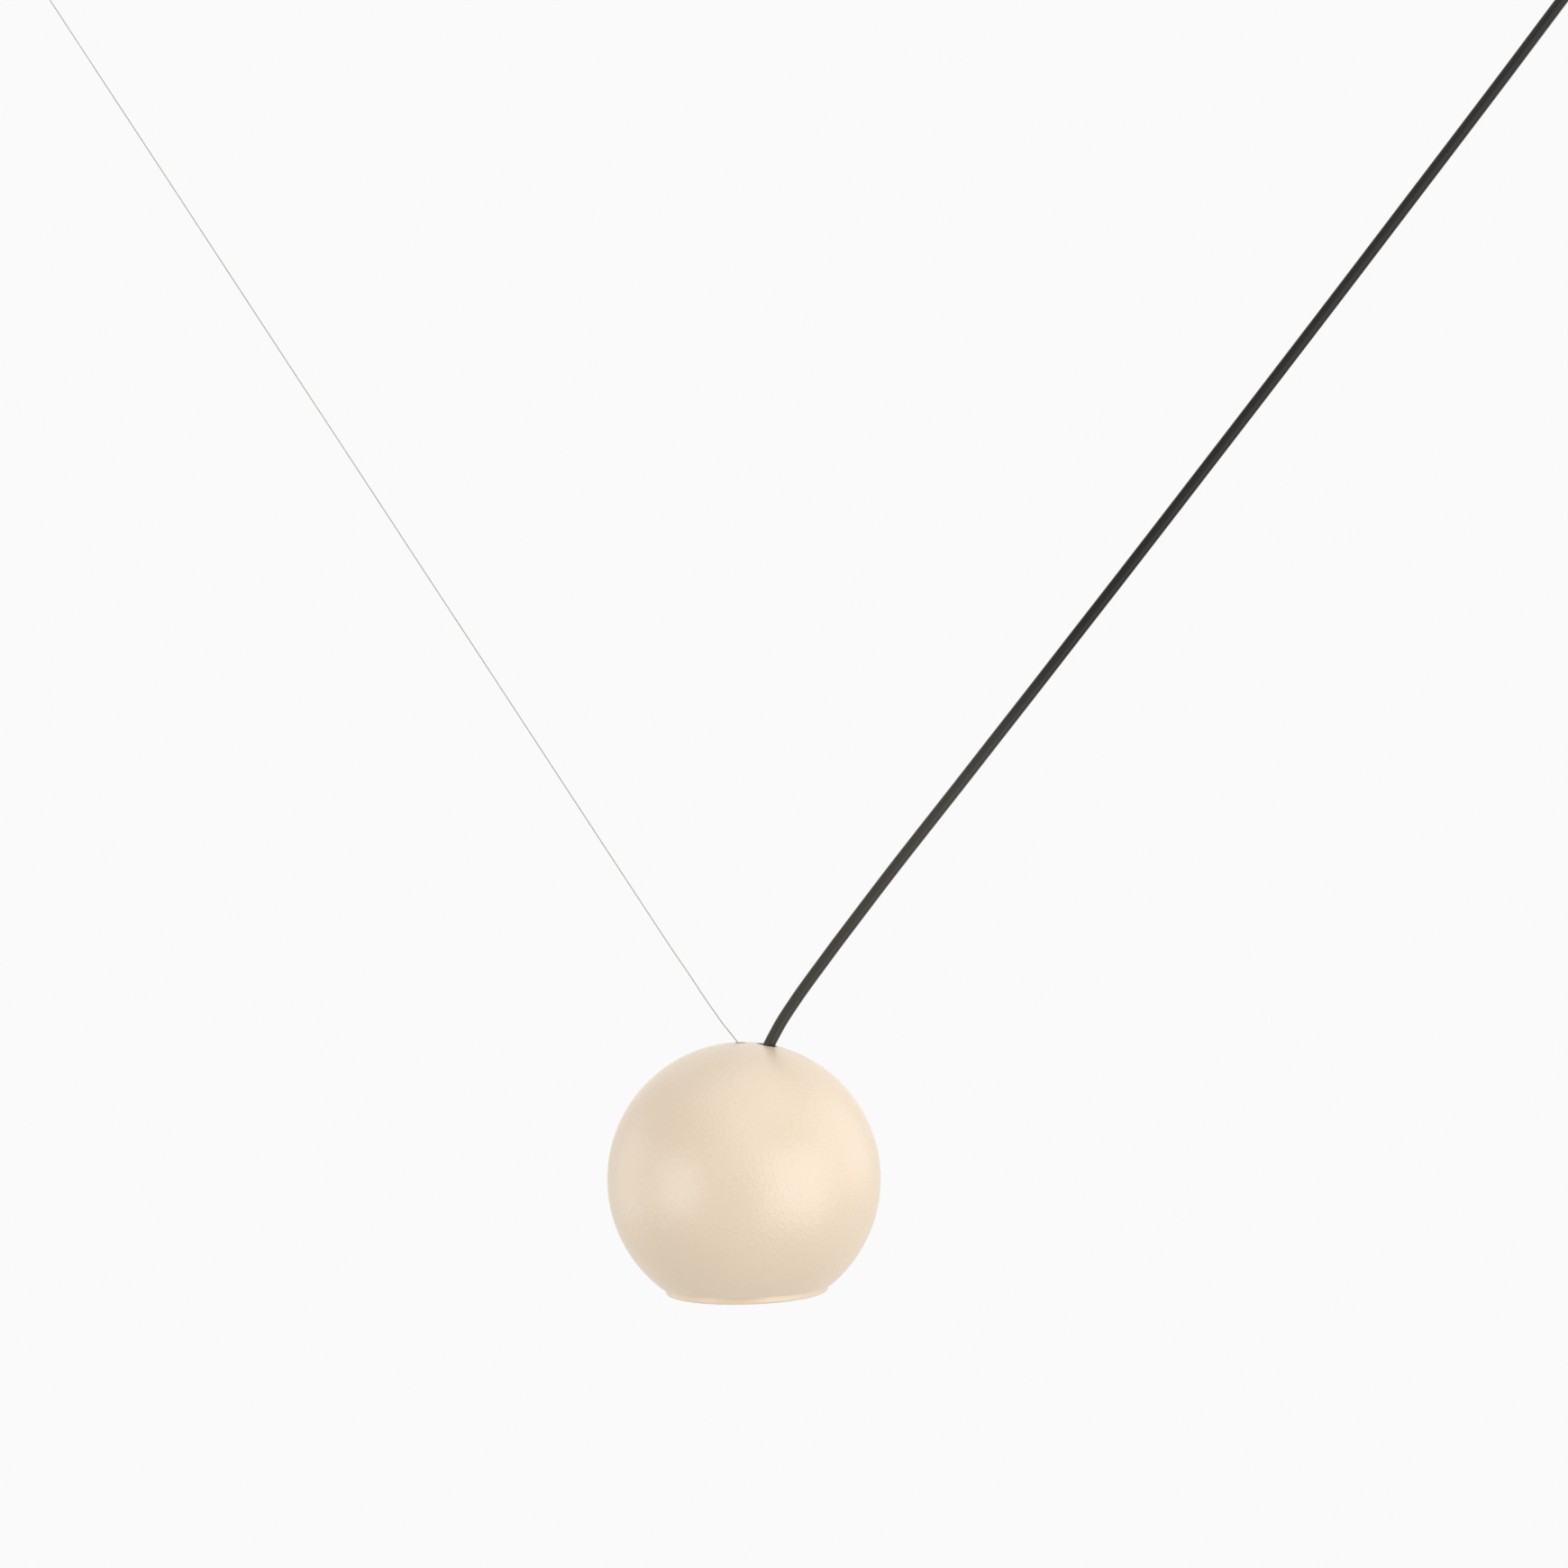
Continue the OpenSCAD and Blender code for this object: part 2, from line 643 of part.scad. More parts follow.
module grub_screw() {
    color("dimgray") along_cable() rotate([0, -90, 0]) translate([0, 0, cable_r + fit_gap]) difference() {
        cylinder(r = grub_r, h = grub_length);
        translate([0, 0, grub_length - grub_r]) cylinder(r = grub_r / 2, h = 2 * grub_r, $fn = 6);
    }
}

module power_cable() {
    color("dimgray") tube([for (p = CABLE_ROUTE) flat(p)], cable_r, CABLE_SIDES);
}

// Wire gripper, drawn along the wire with its ball at the origin and its mouth up
module gripper_head() {
    color("silver") along_wire() difference() {
        union() {
            sphere(r = grip_ball_r);
            cylinder(r = neck_bar_r, h = barrel_start + plug_length);
            translate([0, 0, barrel_start]) cylinder(r = chamber_r - fit_gap, h = plug_length);
        }
        cylinder(r = wire_bore_r, h = 2 * barrel_end);
    }
}

module gripper_barrel() {
    cone_start = clamp_at - cone_length;
    color("silver") along_wire() difference() {
        translate([0, 0, barrel_start]) cylinder(r = barrel_r, h = barrel_length);
        translate([0, 0, barrel_start - EPS]) cylinder(r = chamber_r, h = cone_start - barrel_start + 2 * EPS);
        translate([0, 0, cone_start]) cylinder(r1 = chamber_r, r2 = cone_r, h = cone_length);
        translate([0, 0, clamp_at - EPS])
            cylinder(r = cone_r, h = barrel_end - guide_length - clamp_at + 2 * EPS);
        translate([0, 0, clamp_at]) cylinder(r = guide_r, h = barrel_length);
    }
}

module suspension_wire() {
    color("lightgray") tube([for (p = WIRE_ROUTE) flat(p)], wire_r, THIN_SIDES);
}

module wire_nipple() {
    last = len(WIRE_ROUTE) - 1;
    run = flat(WIRE_ROUTE[last - 1]) - flat(WIRE_ROUTE[last]);
    color("goldenrod") at_lamp() translate([nipple_x, 0, nod_z]) difference() {
        sphere(r = nipple_r);
        rotate([0, atan2(run.x, run.z), 0]) translate([0, 0, -fit_gap])
            cylinder(r = wire_r + fit_gap, h = 2 * nipple_r);
    }
}

module gripper_spring() {
    steps = spring_turns * SPRING_STEPS;
    gap = spring_wire_r + fit_gap;
    reach = plunger_top - spring_start - 2 * gap;
    turn = [for (i = [0:steps]) 360 * i / SPRING_STEPS];
    color("silver") along_wire() translate([0, 0, spring_start + gap]) tube(
        [for (i = [0:steps]) [spring_r * cos(turn[i]), spring_r * sin(turn[i]), reach * i / steps]],
        spring_wire_r, 6, [for (a = turn) [cos(a), sin(a), 0]]);
}

module gripper_plunger() {
    color("silver") along_wire() difference() {
        union() {
            translate([0, 0, plunger_top]) cylinder(r = plunger_r, h = barrel_end + plunger_out - plunger_top);
            translate([0, 0, plunger_top]) cylinder(r = plunger_flange_r, h = plunger_flange_t);
        }
        cylinder(r = wire_bore_r, h = 3 * barrel_end);
        for (a = [0:120:240]) rotate(a) translate([0, 0, clamp_at]) rotate([0, 90, 0])
            cylinder(r = clamp_ball_r + fit_gap, h = 2 * plunger_r);
    }
}

module clamp_balls() {
    color("silver") along_wire() for (a = [0:120:240]) rotate(a)
        translate([clamp_ring_r, 0, clamp_at]) sphere(r = clamp_ball_r);
}

// Ball shell and the crown that hangs it
module ball_shell() {
    color("wheat") at_lamp() difference() {
        sphere(r = ball_r);
        sphere(r = inner_r);
        translate([0, 0, cut_z - ball_r]) cylinder(r = 2 * ball_r, h = ball_r);
        translate([0, 0, nod_z]) cylinder(r = wire_hole_r, h = ball_r);
        translate([cable_hole_x, 0, nod_z - nod_depth]) cylinder(r = cable_hole_r, h = ball_r);
    }
}

module crown_boss() {
    color("silver") at_lamp() difference() {
        intersection() {
            sphere(r = inner_r - boss_gap, $fn = FINE);
            translate([0, 0, boss_z]) cylinder(r = boss_r, h = ball_r, $fn = FINE);
        }
        translate([nipple_x, 0, boss_z - EPS]) cylinder(r = seat_r + fit_gap, h = ball_r);
        translate([boss_hole_x, 0, boss_z - EPS]) cylinder(r = boss_hole_r, h = ball_r);
        around(rod_angles, rod_circle_r) translate([0, 0, boss_z - EPS])
            cylinder(r = rod_stud_r + fit_gap, h = rod_stud_length + fit_gap + EPS);
        for (side = [-1, 1]) translate([grip_x, side * grip_screw_y, boss_z - EPS])
            cylinder(r = screw_r + fit_gap, h = thread_length);
    }
}

module wire_seat() {
    bore_r = nipple_r + run_gap;
    apex = 0.2 * nipple_r;
    color("goldenrod") at_lamp() translate([nipple_x, 0, nod_z]) difference() {
        translate([0, 0, -boss_drop]) cylinder(r = seat_r, h = boss_drop + seat_rise);
        sphere(r = bore_r);
        translate([0, 0, -2 * boss_drop]) cylinder(r = bore_r, h = 2 * boss_drop);
        translate([0, 0, -apex]) cylinder(r1 = 0, r2 = apex + 2 * seat_rise, h = apex + 2 * seat_rise);
    }
}

module cord_grip() {
    color("white") at_lamp() translate([grip_x, 0, boss_z]) difference() {
        union() {
            translate([0, 0, -grip_flange_t]) block(grip_flange_x, grip_flange_y, grip_flange_t);
            translate([0, 0, -grip_length]) cylinder(r = grip_r, h = grip_length);
        }
        translate([0, 0, -2 * grip_length]) cylinder(r = cable_r + fit_gap, h = 3 * grip_length);
        translate([grip_flare_x, 0, -grip_flare]) cylinder(r = grip_flare_r, h = 2 * grip_flare);
        for (side = [-1, 1]) translate([0, side * grip_screw_y, -2 * grip_flange_t])
            cylinder(r = screw_r + pass_gap, h = 3 * grip_flange_t);
        translate([0, 0, grip_clamp_z]) rotate([0, 90, 0]) cylinder(r = screw_r + fit_gap, h = 2 * grip_r);
    }
}

module cord_grip_screws() {
    color("silver") at_lamp() translate([grip_x, 0, boss_z]) {
        for (side = [-1, 1]) translate([0, side * grip_screw_y, -grip_flange_t])
            screw(screw_r, grip_flange_t + thread_length - 2 * fit_gap, head_r, head_t);
        translate([grip_r, 0, grip_clamp_z]) rotate([0, -90, 0])
            screw(screw_r, grip_r - cable_r - fit_gap, head_r, head_t);
    }
}

module cable_tail() {
    color("dimgray") at_lamp() translate([0, 0, nod_z])
        tube([for (p = TAIL_ROUTE) flat(p)], cable_r, CABLE_SIDES);
}

// Stripped cores from the cable to the terminal on the tray
module mains_cores() {
    tail = TAIL_ROUTE[len(TAIL_ROUTE) - 1];
    over = driver_top + 2 * core_r;
    color("royalblue") at_lamp() for (k = [-1:1]) tube([
        [tail.x, k * core_pitch, nod_z + tail.y - fit_gap],
        [tail.x, k * core_pitch, nod_z + tail.y - core_r],
        [tail.x / 2, k * core_pitch, over + core_r],
        [0, k * pole_pitch / 2, over],
        [-driver_x / 4, k * pole_pitch / 2, over],
        [-driver_x / 2 - core_r, k * pole_pitch, over - core_r],
        [-block_x + core_r, k * pole_pitch, (over + tray_top + block_height) / 2],
        [-block_x, k * pole_pitch, tray_top + block_height + core_r],
        [-block_x, k * pole_pitch, tray_top + block_base + fit_gap]
    ], core_r, THIN_SIDES);
}

// Rods, tray and what stands on the tray
module tie_rods() {
    color("silver") at_lamp() around(rod_angles, rod_circle_r) difference() {
        union() {
            translate([0, 0, sink_top]) cylinder(r = rod_r, h = boss_z - sink_top);
            translate([0, 0, boss_z]) cylinder(r = rod_stud_r, h = rod_stud_length);
        }
        translate([0, 0, sink_top - EPS]) cylinder(r = screw_r + fit_gap, h = 2 * thread_length);
    }
}

module gear_tray() {
    color("gainsboro") at_lamp() translate([0, 0, tray_z]) difference() {
        cylinder(r = tray_r, h = tray_t);
        around(rod_angles, rod_circle_r) translate([0, 0, -tray_t])
            cylinder(r = rod_r + pass_gap, h = 3 * tray_t);
        for (x = [-block_x, -driver_screw_x, driver_screw_x]) translate([x, 0, -tray_t])
            cylinder(r = screw_r + pass_gap, h = 3 * tray_t);
        translate([lead_hole_x, -lead_hole_y, -tray_t]) cylinder(r = lead_hole_r, h = 3 * tray_t);
    }
}

module tray_nuts() {
    color("silver") at_lamp() around(rod_angles, rod_circle_r) for (z = [tray_z - nut_t, tray_top])
        translate([0, 0, z]) difference() {
            cylinder(r = nut_r, h = nut_t, $fn = 6);
            translate([0, 0, -nut_t]) cylinder(r = rod_r + fit_gap, h = 3 * nut_t);
        }
}

module tray_screws() {
    color("silver") at_lamp() for (x = [-block_x, -driver_screw_x, driver_screw_x]) translate([x, 0, tray_z])
        screw(screw_r, tray_t + thread_length - 2 * fit_gap, head_r, head_t);
}

module led_driver() {
    color("white") at_lamp() translate([0, 0, tray_top]) difference() {
        union() {
            block(driver_x, driver_y, driver_z - driver_lid);
            block(driver_x - 2 * driver_step, driver_y - 2 * driver_step, driver_z);
        }
        for (x = [-driver_screw_x, driver_screw_x]) translate([x, 0, -EPS])
            cylinder(r = screw_r + fit_gap, h = thread_length + EPS);
    }
}

module head_terminal() {
    color("ivory") at_lamp() translate([-block_x, 0, tray_top]) terminal();
}

module driver_leads() {
    from_x = block_length / 2 - block_x + fit_gap;
    to_x = -driver_x / 2 - fit_gap;
    color("saddlebrown") at_lamp() for (side = [-1, 1])
        translate([from_x, side * pole_pitch / 2, tray_top + block_base / 2]) rotate([0, 90, 0])
            cylinder(r = lead_r, h = to_x - from_x);
}

module led_leads() {
    color("firebrick") at_lamp() for (side = [-1, 1]) {
        x = lead_hole_x + side * 2 * lead_r;
        tube([
            [x, -driver_y / 2 - fit_gap, tray_top + driver_z / 3],
            [x, -driver_y / 2 - 2 * lead_r, tray_top + driver_z / 3],
            [x, -lead_hole_y + lead_r, tray_top + driver_z / 3 - 3 * lead_r],
            [x, -lead_hole_y, tray_top],
            [x, -lead_hole_y, sink_top],
            [x, -lead_hole_y, sink_z - holder_height / 3],
            [x, -lead_hole_y + lead_r, sink_z - holder_height / 2]
        ], lead_r, THIN_SIDES, [for (i = [0:6]) [1, 0, 0]]);
    }
}

// Heat sink and light source
module heat_sink() {
    color("darkgray") at_lamp() difference() {
        union() {
            translate([0, 0, sink_z]) cylinder(r = sink_r, h = sink_base);
            translate([0, 0, sink_top - EPS]) intersection() {
                for (k = [0:fin_count - 1]) rotate((k + 0.5) * 360 / fin_count)
                    translate([fin_inner_r, -fin_t / 2, 0]) cube([sink_r, fin_t, fin_height + EPS]);
                cylinder(r = sink_r, h = 2 * fin_height);
            }
        }
        around(rod_angles, rod_circle_r) translate([0, 0, sink_z - EPS]) {
            cylinder(r = screw_r + pass_gap, h = 2 * sink_base);
            cylinder(r = head_r + run_gap, h = head_t + run_gap + EPS);
        }
        around(screw_angles, collar_screw_r) translate([0, 0, sink_z - EPS])
            cylinder(r = screw_r + fit_gap, h = thread_length);
        for (side = [-1, 1]) translate([side * holder_screw_x, 0, sink_z - EPS])
            cylinder(r = screw_r + fit_gap, h = thread_length);
        translate([lead_hole_x, -lead_hole_y, sink_z - sink_base]) cylinder(r = lead_hole_r, h = 3 * sink_base);
    }
}

module heat_sink_screws() {
    seat = sink_z + head_t + run_gap;
    color("silver") at_lamp() around(rod_angles, rod_circle_r) translate([0, 0, seat])
        screw(screw_r, sink_top - seat + thread_length, head_r, head_t);
}

module led_board() {
    color("whitesmoke") at_lamp() translate([0, 0, sink_z - board_t]) cylinder(r = board_r, h = board_t);
}

module led_chip() {
    color("gold") at_lamp() translate([0, 0, sink_z - board_t - chip_t]) cylinder(r = chip_r, h = chip_t);
}

module led_holder() {
    color("white") at_lamp() difference() {
        translate([0, 0, holder_z]) cylinder(r = holder_r, h = holder_height);
        translate([0, 0, holder_z - EPS]) cylinder(r = holder_in_r, h = 2 * holder_height);
        translate([0, 0, sink_z - board_t - fit_gap]) cylinder(r = board_r + pass_gap, h = 2 * board_t);
        for (side = [-1, 1]) translate([side * holder_screw_x, 0, holder_z - EPS]) {
            cylinder(r = screw_r + pass_gap, h = 2 * holder_height);
            cylinder(r = head_r + run_gap, h = head_t + run_gap + EPS);
        }
    }
}

module holder_screws() {
    seat = holder_z + head_t + run_gap;
    color("silver") at_lamp() for (side = [-1, 1]) translate([side * holder_screw_x, 0, seat])
        screw(screw_r, sink_z - seat + thread_length - 2 * fit_gap, head_r, head_t);
}

// The bowl widens as a parabola from its neck to the mouth of the collar
module reflector() {
    steps = 12;
    top = holder_z - reflector_t;
    mouth = collar_in_r - run_gap - reflector_t;
    throat = holder_in_r + run_gap;
    bottom = collar_z + run_gap;
    function bowl(i) = [throat + (mouth - throat) * sqrt(i / steps), top + (bottom - top) * i / steps];
    color("silver") at_lamp() rotate_extrude() {
        polygon(concat(
            [for (i = [0:steps]) bowl(i)],
            [for (i = [steps:-1:0]) bowl(i) + [reflector_t, 0]]
        ));
        translate([throat, top]) square([neck_r - throat, reflector_t]);
    }
}

// Collar, bayonet ring and diffuser
module collar() {
    slot_half = lug_half + slot_gap;
    entry_half = slot_half + slot_gap / 2;
    slot_z = lug_z - run_gap;
    slot_top = lug_top + run_gap;
    color("white") at_lamp() difference() {
        rotate_extrude() union() {
            translate([collar_in_r, collar_z]) square([collar_wall, collar_height]);
            translate([flange_in_r, sink_z - flange_t]) square([collar_r - flange_in_r, flange_t]);
        }
        around(screw_angles, collar_screw_r) translate([0, 0, sink_z - 2 * flange_t])
            cylinder(r = screw_r + pass_gap, h = 3 * flange_t);
        for (a = lug_angles) {
            rotate(a - slot_half) rotate_extrude(angle = twist + 2 * slot_half)
                translate([collar_in_r - collar_wall, slot_z]) square([3 * collar_wall, slot_top - slot_z]);
            rotate(a + twist - entry_half) rotate_extrude(angle = 2 * entry_half)
                translate([collar_in_r - collar_wall, collar_z - collar_wall])
                    square([3 * collar_wall, lug_top - collar_z + collar_wall]);
        }
    }
}

module collar_screws() {
    color("silver") at_lamp() around(screw_angles, collar_screw_r) translate([0, 0, sink_z - flange_t])
        screw(screw_r, flange_t + thread_length - 2 * fit_gap, head_r, head_t);
}

module bezel_ring() {
    color("wheat") at_lamp() union() {
        rotate_extrude() union() {
            translate([lip_r, bezel_z]) square([bezel_r - bezel_round - lip_r, lip_t]);
            translate([bezel_in_r, bezel_z + bezel_round]) square([bezel_wall, bezel_height - bezel_round]);
            translate([bezel_in_r, bezel_z]) square([bezel_wall - bezel_round, bezel_round]);
            translate([bezel_r - bezel_round, bezel_z + bezel_round]) intersection() {
                circle(r = bezel_round);
                translate([0, -bezel_round]) square(bezel_round);
            }
        }
        for (a = lug_angles) rotate(a - lug_half) rotate_extrude(angle = 2 * lug_half)
            translate([lug_in_r, lug_z]) square([bezel_in_r + bezel_wall / 2 - lug_in_r, lug_height]);
    }
}

module diffuser() {
    color("white") at_lamp() translate([0, 0, lip_top]) cylinder(r = diffuser_r, h = diffuser_t);
}

module gasket() {
    color("gray") at_lamp() rotate_extrude() translate([collar_in_r, diffuser_top])
        square([diffuser_r - collar_in_r, gasket_t]);
}

rose_bracket();
rose_cup();
cup_screws();
swivel_seat();
seat_nut();
supply_terminal();
supply_cores();
anchor_base();
anchor_cap();
swivel_ball();
grub_screw();
power_cable();
gripper_head();
gripper_barrel();
suspension_wire();
wire_nipple();
gripper_spring();
gripper_plunger();
clamp_balls();
ball_shell();
crown_boss();
wire_seat();
cord_grip();
cord_grip_screws();
cable_tail();
mains_cores();
tie_rods();
gear_tray();
tray_nuts();
tray_screws();
led_driver();
head_terminal();
driver_leads();
led_leads();
heat_sink();
heat_sink_screws();
led_board();
led_chip();
led_holder();
holder_screws();
reflector();
collar();
collar_screws();
bezel_ring();
diffuser();
gasket();
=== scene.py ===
"""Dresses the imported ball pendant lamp: finishes, cords, fasteners and a pale studio."""

import logging
import math
from collections.abc import Mapping, Sequence
from dataclasses import dataclass, field
from enum import Enum
from typing import Any

import bmesh
import bpy
from mathutils import Matrix, Vector


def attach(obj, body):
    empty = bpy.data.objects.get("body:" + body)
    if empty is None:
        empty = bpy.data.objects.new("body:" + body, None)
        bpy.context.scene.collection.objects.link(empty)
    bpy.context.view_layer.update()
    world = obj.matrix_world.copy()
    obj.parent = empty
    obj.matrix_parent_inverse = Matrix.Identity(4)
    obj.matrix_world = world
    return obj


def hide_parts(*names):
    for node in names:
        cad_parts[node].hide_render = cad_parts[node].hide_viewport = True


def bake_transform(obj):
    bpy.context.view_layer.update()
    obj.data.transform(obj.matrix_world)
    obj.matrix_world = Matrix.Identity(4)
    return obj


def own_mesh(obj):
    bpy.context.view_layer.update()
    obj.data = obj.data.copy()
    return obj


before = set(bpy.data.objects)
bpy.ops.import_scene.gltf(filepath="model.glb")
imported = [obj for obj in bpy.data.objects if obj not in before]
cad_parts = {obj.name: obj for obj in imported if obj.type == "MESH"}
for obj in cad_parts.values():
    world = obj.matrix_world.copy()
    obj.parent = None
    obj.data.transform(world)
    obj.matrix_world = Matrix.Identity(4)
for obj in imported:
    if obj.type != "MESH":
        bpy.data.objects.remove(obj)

log = logging.getLogger("pendant")

MM = 0.001
IMAGE_PX = 1740

# Vertices closer than this are joined, in millimetres
MERGE = 0.0005
# Vertices in the ring of a single core
CORE_SIDES = 12
# Radius of the power cable, in millimetres
CABLE_R = 3.0

# Sockets of a Mix node by index, because its names repeat for each type of data
MIX_SHARE = 0
MIX_FLOAT_A, MIX_FLOAT_B = 2, 3
MIX_COLOUR_A, MIX_COLOUR_B = 6, 7
MIX_COLOUR_OUT = 2

# Places from the part's source, in millimetres: the middle of the ball, the rocking axis above it,
# the height of both ceiling swivels, the anchor, and the lean of cable and wire at their swivels
LAMP = Vector((-480.0, 0.0, -676.0))
ROCK_Z = 65.0
SWIVEL_Z = -26.0
ANCHOR_X = -839.0
CABLE_LEAN = math.radians(38.5)
WIRE_LEAN = math.radians(31.5)

# Route of the power cable from the rose to the crown, as X and Z
CABLE_ROUTE = (
    (8.1, -15.8), (0, -26), (-9.5, -38), (-19.1, -50), (-36.5, -72), (-57.1, -98),
    (-79.3, -126), (-103.3, -156), (-129, -188), (-154.7, -220), (-180.5, -252),
    (-206.4, -284), (-232.4, -316), (-256.8, -346), (-281.3, -376), (-304.3, -404),
    (-325.6, -430), (-345.4, -454), (-363.5, -476), (-380.1, -496), (-395, -514),
    (-408, -530), (-419.2, -544), (-428.8, -556), (-436.6, -566), (-443.6, -575),
    (-448.9, -582), (-453.2, -588), (-456.7, -593), (-459.6, -597.5), (-461.9, -601.5),
    (-463.9, -605), (-465.5, -608), (-466.8, -610.6),
)

# Route of the suspension wire from the gripper to the nipple, as X and Z
WIRE_ROUTE = (
    (-836.4, -30.3), (-818.2, -60), (-790, -106), (-759.3, -156), (-728.7, -206),
    (-698.1, -256), (-667.4, -306), (-636.8, -356), (-606.1, -406), (-575.5, -456),
    (-544.9, -506), (-523.4, -541), (-512.9, -558), (-505.4, -569.7), (-498.1, -581.5),
    (-490.5, -593.2), (-486.4, -598.9), (-481.6, -605.3), (-477.4, -611),
)

# Route of the cable inside the ball, as X from the lamp axis and Z from the rocking axis
TAIL_ROUTE = (
    (12.9, -0.3), (11.9, -2.6), (11.1, -5), (10.6, -7.4), (10.4, -9.5), (10.3, -12),
    (10.3, -17), (10.3, -23), (10.3, -29),
)

# Route of an outer mains core from the cable to the terminal, from the middle of the ball. The
# three cores have its Y times -1, 0 and 1
MAINS_ROUTE = (
    (10.3, 1.9, 35.95), (10.3, 1.9, 35.1), (5.15, 1.9, 31.2), (0, 4, 30.3), (-8.5, 4, 30.3),
    (-17.9, 8, 29.4), (-28.1, 8, 25.4), (-29, 8, 21.4), (-29, 8, 15.55),
)

# Route of a lead from the terminal to the driver. The two leads have its Y times -1 and 1
DRIVER_ROUTE = ((-20.95, 4, 11), (-17.05, 4, 11))

# Route of the leads from the driver to the board, as Y and Z, and the X of each of them
LIGHT_ROUTE = (
    (-15.05, 13.83), (-16.4, 13.83), (-20.7, 11.73), (-21.4, 6.5), (-21.4, 0), (-21.4, -22),
    (-21.4, -28.01), (-21.4, -35.51), (-20.7, -36.26),
)
LIGHT_LEAD_X = (3.6, 6.4)


class Body(Enum):
    """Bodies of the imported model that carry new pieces."""

    CEILING = "ceiling"
    SUSPENSION = "suspension"
    HEAD = "head"


class Place(Enum):
    """Coordinates that a finish reads its pattern from."""

    OBJECT = "Object"
    UV = "UV"


def linear(colour: str) -> tuple[float, float, float, float]:
    """Turn an sRGB hex colour to linear.

    Args:
        colour: Six hex digits after a hash.

    Returns:
        Linear red, green, blue and an alpha of 1.
    """
    parts = [int(colour[i : i + 2], 16) / 255 for i in (1, 3, 5)]
    r, g, b = (c / 12.92 if c <= 0.04045 else ((c + 0.055) / 1.055) ** 2.4 for c in parts)
    return r, g, b, 1.0


def add(
    tree: bpy.types.NodeTree,
    kind: str,
    inputs: Mapping[Any, Any] | None = None,
    **settings: Any,
) -> bpy.types.Node:
    """Add one node with its settings, values and links.

    Args:
        tree: Node tree that gets the node.
        kind: Type name of the node.
        inputs: Socket name or index, to a value or to the output that it links to.
        **settings: Properties of the node itself.

    Returns:
        The new node.
    """
    node = tree.nodes.new(kind)
    for name, value in settings.items():
        setattr(node, name, value)
    for name, value in (inputs or {}).items():
        if isinstance(value, bpy.types.NodeSocket):
            tree.links.new(value, node.inputs[name])
        else:
            node.inputs[name].default_value = value
    return node


@dataclass(frozen=True)
class Finish:
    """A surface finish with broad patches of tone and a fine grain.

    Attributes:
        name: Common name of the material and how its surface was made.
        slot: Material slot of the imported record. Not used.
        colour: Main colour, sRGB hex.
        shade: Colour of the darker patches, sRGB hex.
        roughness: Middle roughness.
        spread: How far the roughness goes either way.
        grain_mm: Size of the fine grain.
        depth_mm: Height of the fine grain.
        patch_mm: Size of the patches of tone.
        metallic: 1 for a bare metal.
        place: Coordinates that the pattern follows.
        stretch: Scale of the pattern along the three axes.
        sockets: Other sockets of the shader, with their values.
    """

    name: str
    slot: str
    colour: str
    shade: str
    roughness: float
    spread: float
    grain_mm: float
    depth_mm: float
    patch_mm: float
    metallic: float = 0.0
    place: Place = Place.OBJECT
    stretch: tuple[float, float, float] = (1.0, 1.0, 1.0)
    sockets: tuple[tuple[str, Any], ...] = ()

    def where(self, tree: bpy.types.NodeTree) -> bpy.types.NodeSocket:
        """Return the coordinates of the pattern, stretched."""
        coords = add(tree, "ShaderNodeTexCoord").outputs[self.place.value]
        return add(tree, "ShaderNodeMapping", {"Vector": coords, "Scale": self.stretch}).outputs[0]

    def tone(self, tree: bpy.types.NodeTree, where: bpy.types.NodeSocket) -> bpy.types.NodeSocket:
        """Mix the colour with its darker patches.

        Args:
            tree: Node tree of the material.
            where: Coordinates of the pattern.

        Returns:
            Colour of the surface.
        """
        values = {"Vector": where, "Scale": 1 / (self.patch_mm * MM), "Detail": 3.0}
        patch = add(tree, "ShaderNodeTexNoise", values).outputs[0]
        ends = {MIX_COLOUR_A: linear(self.colour), MIX_COLOUR_B: linear(self.shade)}
        mixed = add(tree, "ShaderNodeMix", {MIX_SHARE: patch, **ends}, data_type="RGBA")
        return mixed.outputs[MIX_COLOUR_OUT]

    def height(self, tree: bpy.types.NodeTree, where: bpy.types.NodeSocket) -> bpy.types.NodeSocket:
        """Return the height of the grain, from 0 to 1."""
        values = {"Vector": where, "Scale": 1 / (self.grain_mm * MM), "Detail": 2.0}
        return add(tree, "ShaderNodeTexNoise", values).outputs[0]

    def material(self) -> bpy.types.Material:
        """Make the material of the finish on its first use.

        Returns:
            The material, the same one for every piece.
        """
        known = bpy.data.materials.get(self.name)
        if known:
            return known
        material = bpy.data.materials.new(self.name)
        material.use_nodes = True
        tree = material.node_tree
        tree.nodes.clear()
        where = self.where(tree)
        height = self.height(tree, where)
        low, high = self.roughness - self.spread, self.roughness + self.spread
        values = {"Value": height, "To Min": low, "To Max": high}
        rough = add(tree, "ShaderNodeMapRange", values).outputs[0]
        values = {"Height": height, "Distance": self.depth_mm * MM}
        bump = add(tree, "ShaderNodeBump", values).outputs[0]
        values = {
            "Base Color": self.tone(tree, where), "Roughness": rough, "Metallic": self.metallic,
            "Normal": bump,
        }
        shader = add(tree, "ShaderNodeBsdfPrincipled", {**values, **dict(self.sockets)})
        add(tree, "ShaderNodeOutputMaterial", {"Surface": shader.outputs[0]})
        material.diffuse_color = linear(self.colour)
        return material


